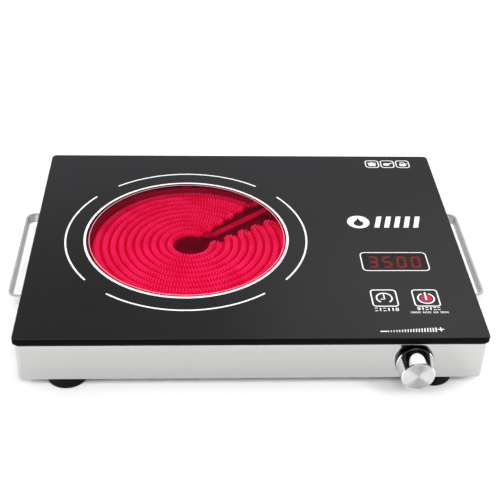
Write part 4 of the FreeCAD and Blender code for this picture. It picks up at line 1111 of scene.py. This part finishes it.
def make_world():
    """A studio for gloss to mirror: pale behind the plate, with a dark patch high up a little
    to its left, white above that, grey overhead and black in front. The camera sees white."""
    world = bpy.data.worlds.new("studio")
    bpy.context.scene.world = world
    world.use_nodes = True
    sky = Nodes(world.node_tree)
    way = sky.add("TexCoord").outputs["Generated"]
    axes = sky.add("SeparateXYZ", {0: way})

    def blend(factor, low, high):
        return sky.add("Mix", {0: factor, 6: low, 7: high}, data_type="RGBA").outputs[2]

    def step(axis, start, end):
        return sky.span(axes.outputs[axis], 0.0, 1.0, start, end, soft=True)

    across = sky.span(axes.outputs["X"], 0.0, 1.0, -1.0, 1.0)
    upper = sky.ramp(across, (0.0, grey(0.95)), (0.30, grey(0.85)), (0.42, grey(0.42)),
                     (0.47, grey(0.44)), (0.51, grey(0.56)), (0.55, grey(0.92)), (0.62, grey(1.2)),
                     (1.0, grey(1.1)))
    lower = (0.59, 0.58, 0.60, 1)
    back = blend(step("Z", 0.48, 0.63), lower, upper)
    back = blend(step("Z", 0.66, 0.71), back, (1.15, 1.15, 1.15, 1))
    around = blend(step("Y", -0.12, 0.22), (0.05, 0.05, 0.05, 1), back)
    full = blend(step("Z", 0.84, 0.96), around, (0.85, 0.85, 0.85, 1))
    seen = sky.add("LightPath").outputs["Is Camera Ray"]
    shown = blend(seen, full, (1, 1, 1, 1))
    sky.feed(sky.nodes["Background"], {"Color": shown, "Strength": 1.0})


def make_camera():
    """At the front, a little to the left, looking down at the plate."""
    position = Vector((-0.04417, -0.77018, 0.58256))
    lens = 74.802
    yaw, pitch, tilt = (math.radians(angle) for angle in (-3.517, 34.957, 2.006))
    level = Vector((math.cos(yaw), math.sin(yaw), 0))
    ahead = Vector((-math.sin(yaw), math.cos(yaw), 0))
    forward = ahead * math.cos(pitch) - Vector((0, 0, math.sin(pitch)))
    upward = ahead * math.sin(pitch) + Vector((0, 0, math.cos(pitch)))
    right = level * math.cos(tilt) + upward * math.sin(tilt)
    above = upward * math.cos(tilt) - level * math.sin(tilt)
    data = bpy.data.cameras.new("camera")
    data.lens = lens
    data.sensor_width = 36.0
    data.clip_start, data.clip_end = 0.01, 50.0
    camera = bpy.data.objects.new("camera", data)
    camera.matrix_world = Matrix.Translation(position) @ Matrix(
        (right, above, -forward)).transposed().to_4x4()
    bpy.context.scene.collection.objects.link(camera)
    bpy.context.scene.camera = camera


make_floor()
make_lamp("overhead_softbox", (-0.3, -0.25, 1.9), (0, 0, 0), 1.8, 4)
for side, name in ((-1, "left_softbox"), (1, "right_softbox")):
    make_lamp(name, (1.2 * side, -1.4, 1.55), (0, -0.1, 0), 0.6, 21)
make_lamp("front_softbox", (0, -1.65, 1.7), (0, -0.1, 0), 0.6, 21)
make_lamp("rear_softbox", (0.3, 1.9, 1.9), (0, 0.9, 0), 0.8, 27)
make_world()
make_camera()
bpy.context.scene.view_settings.view_transform = "Standard"
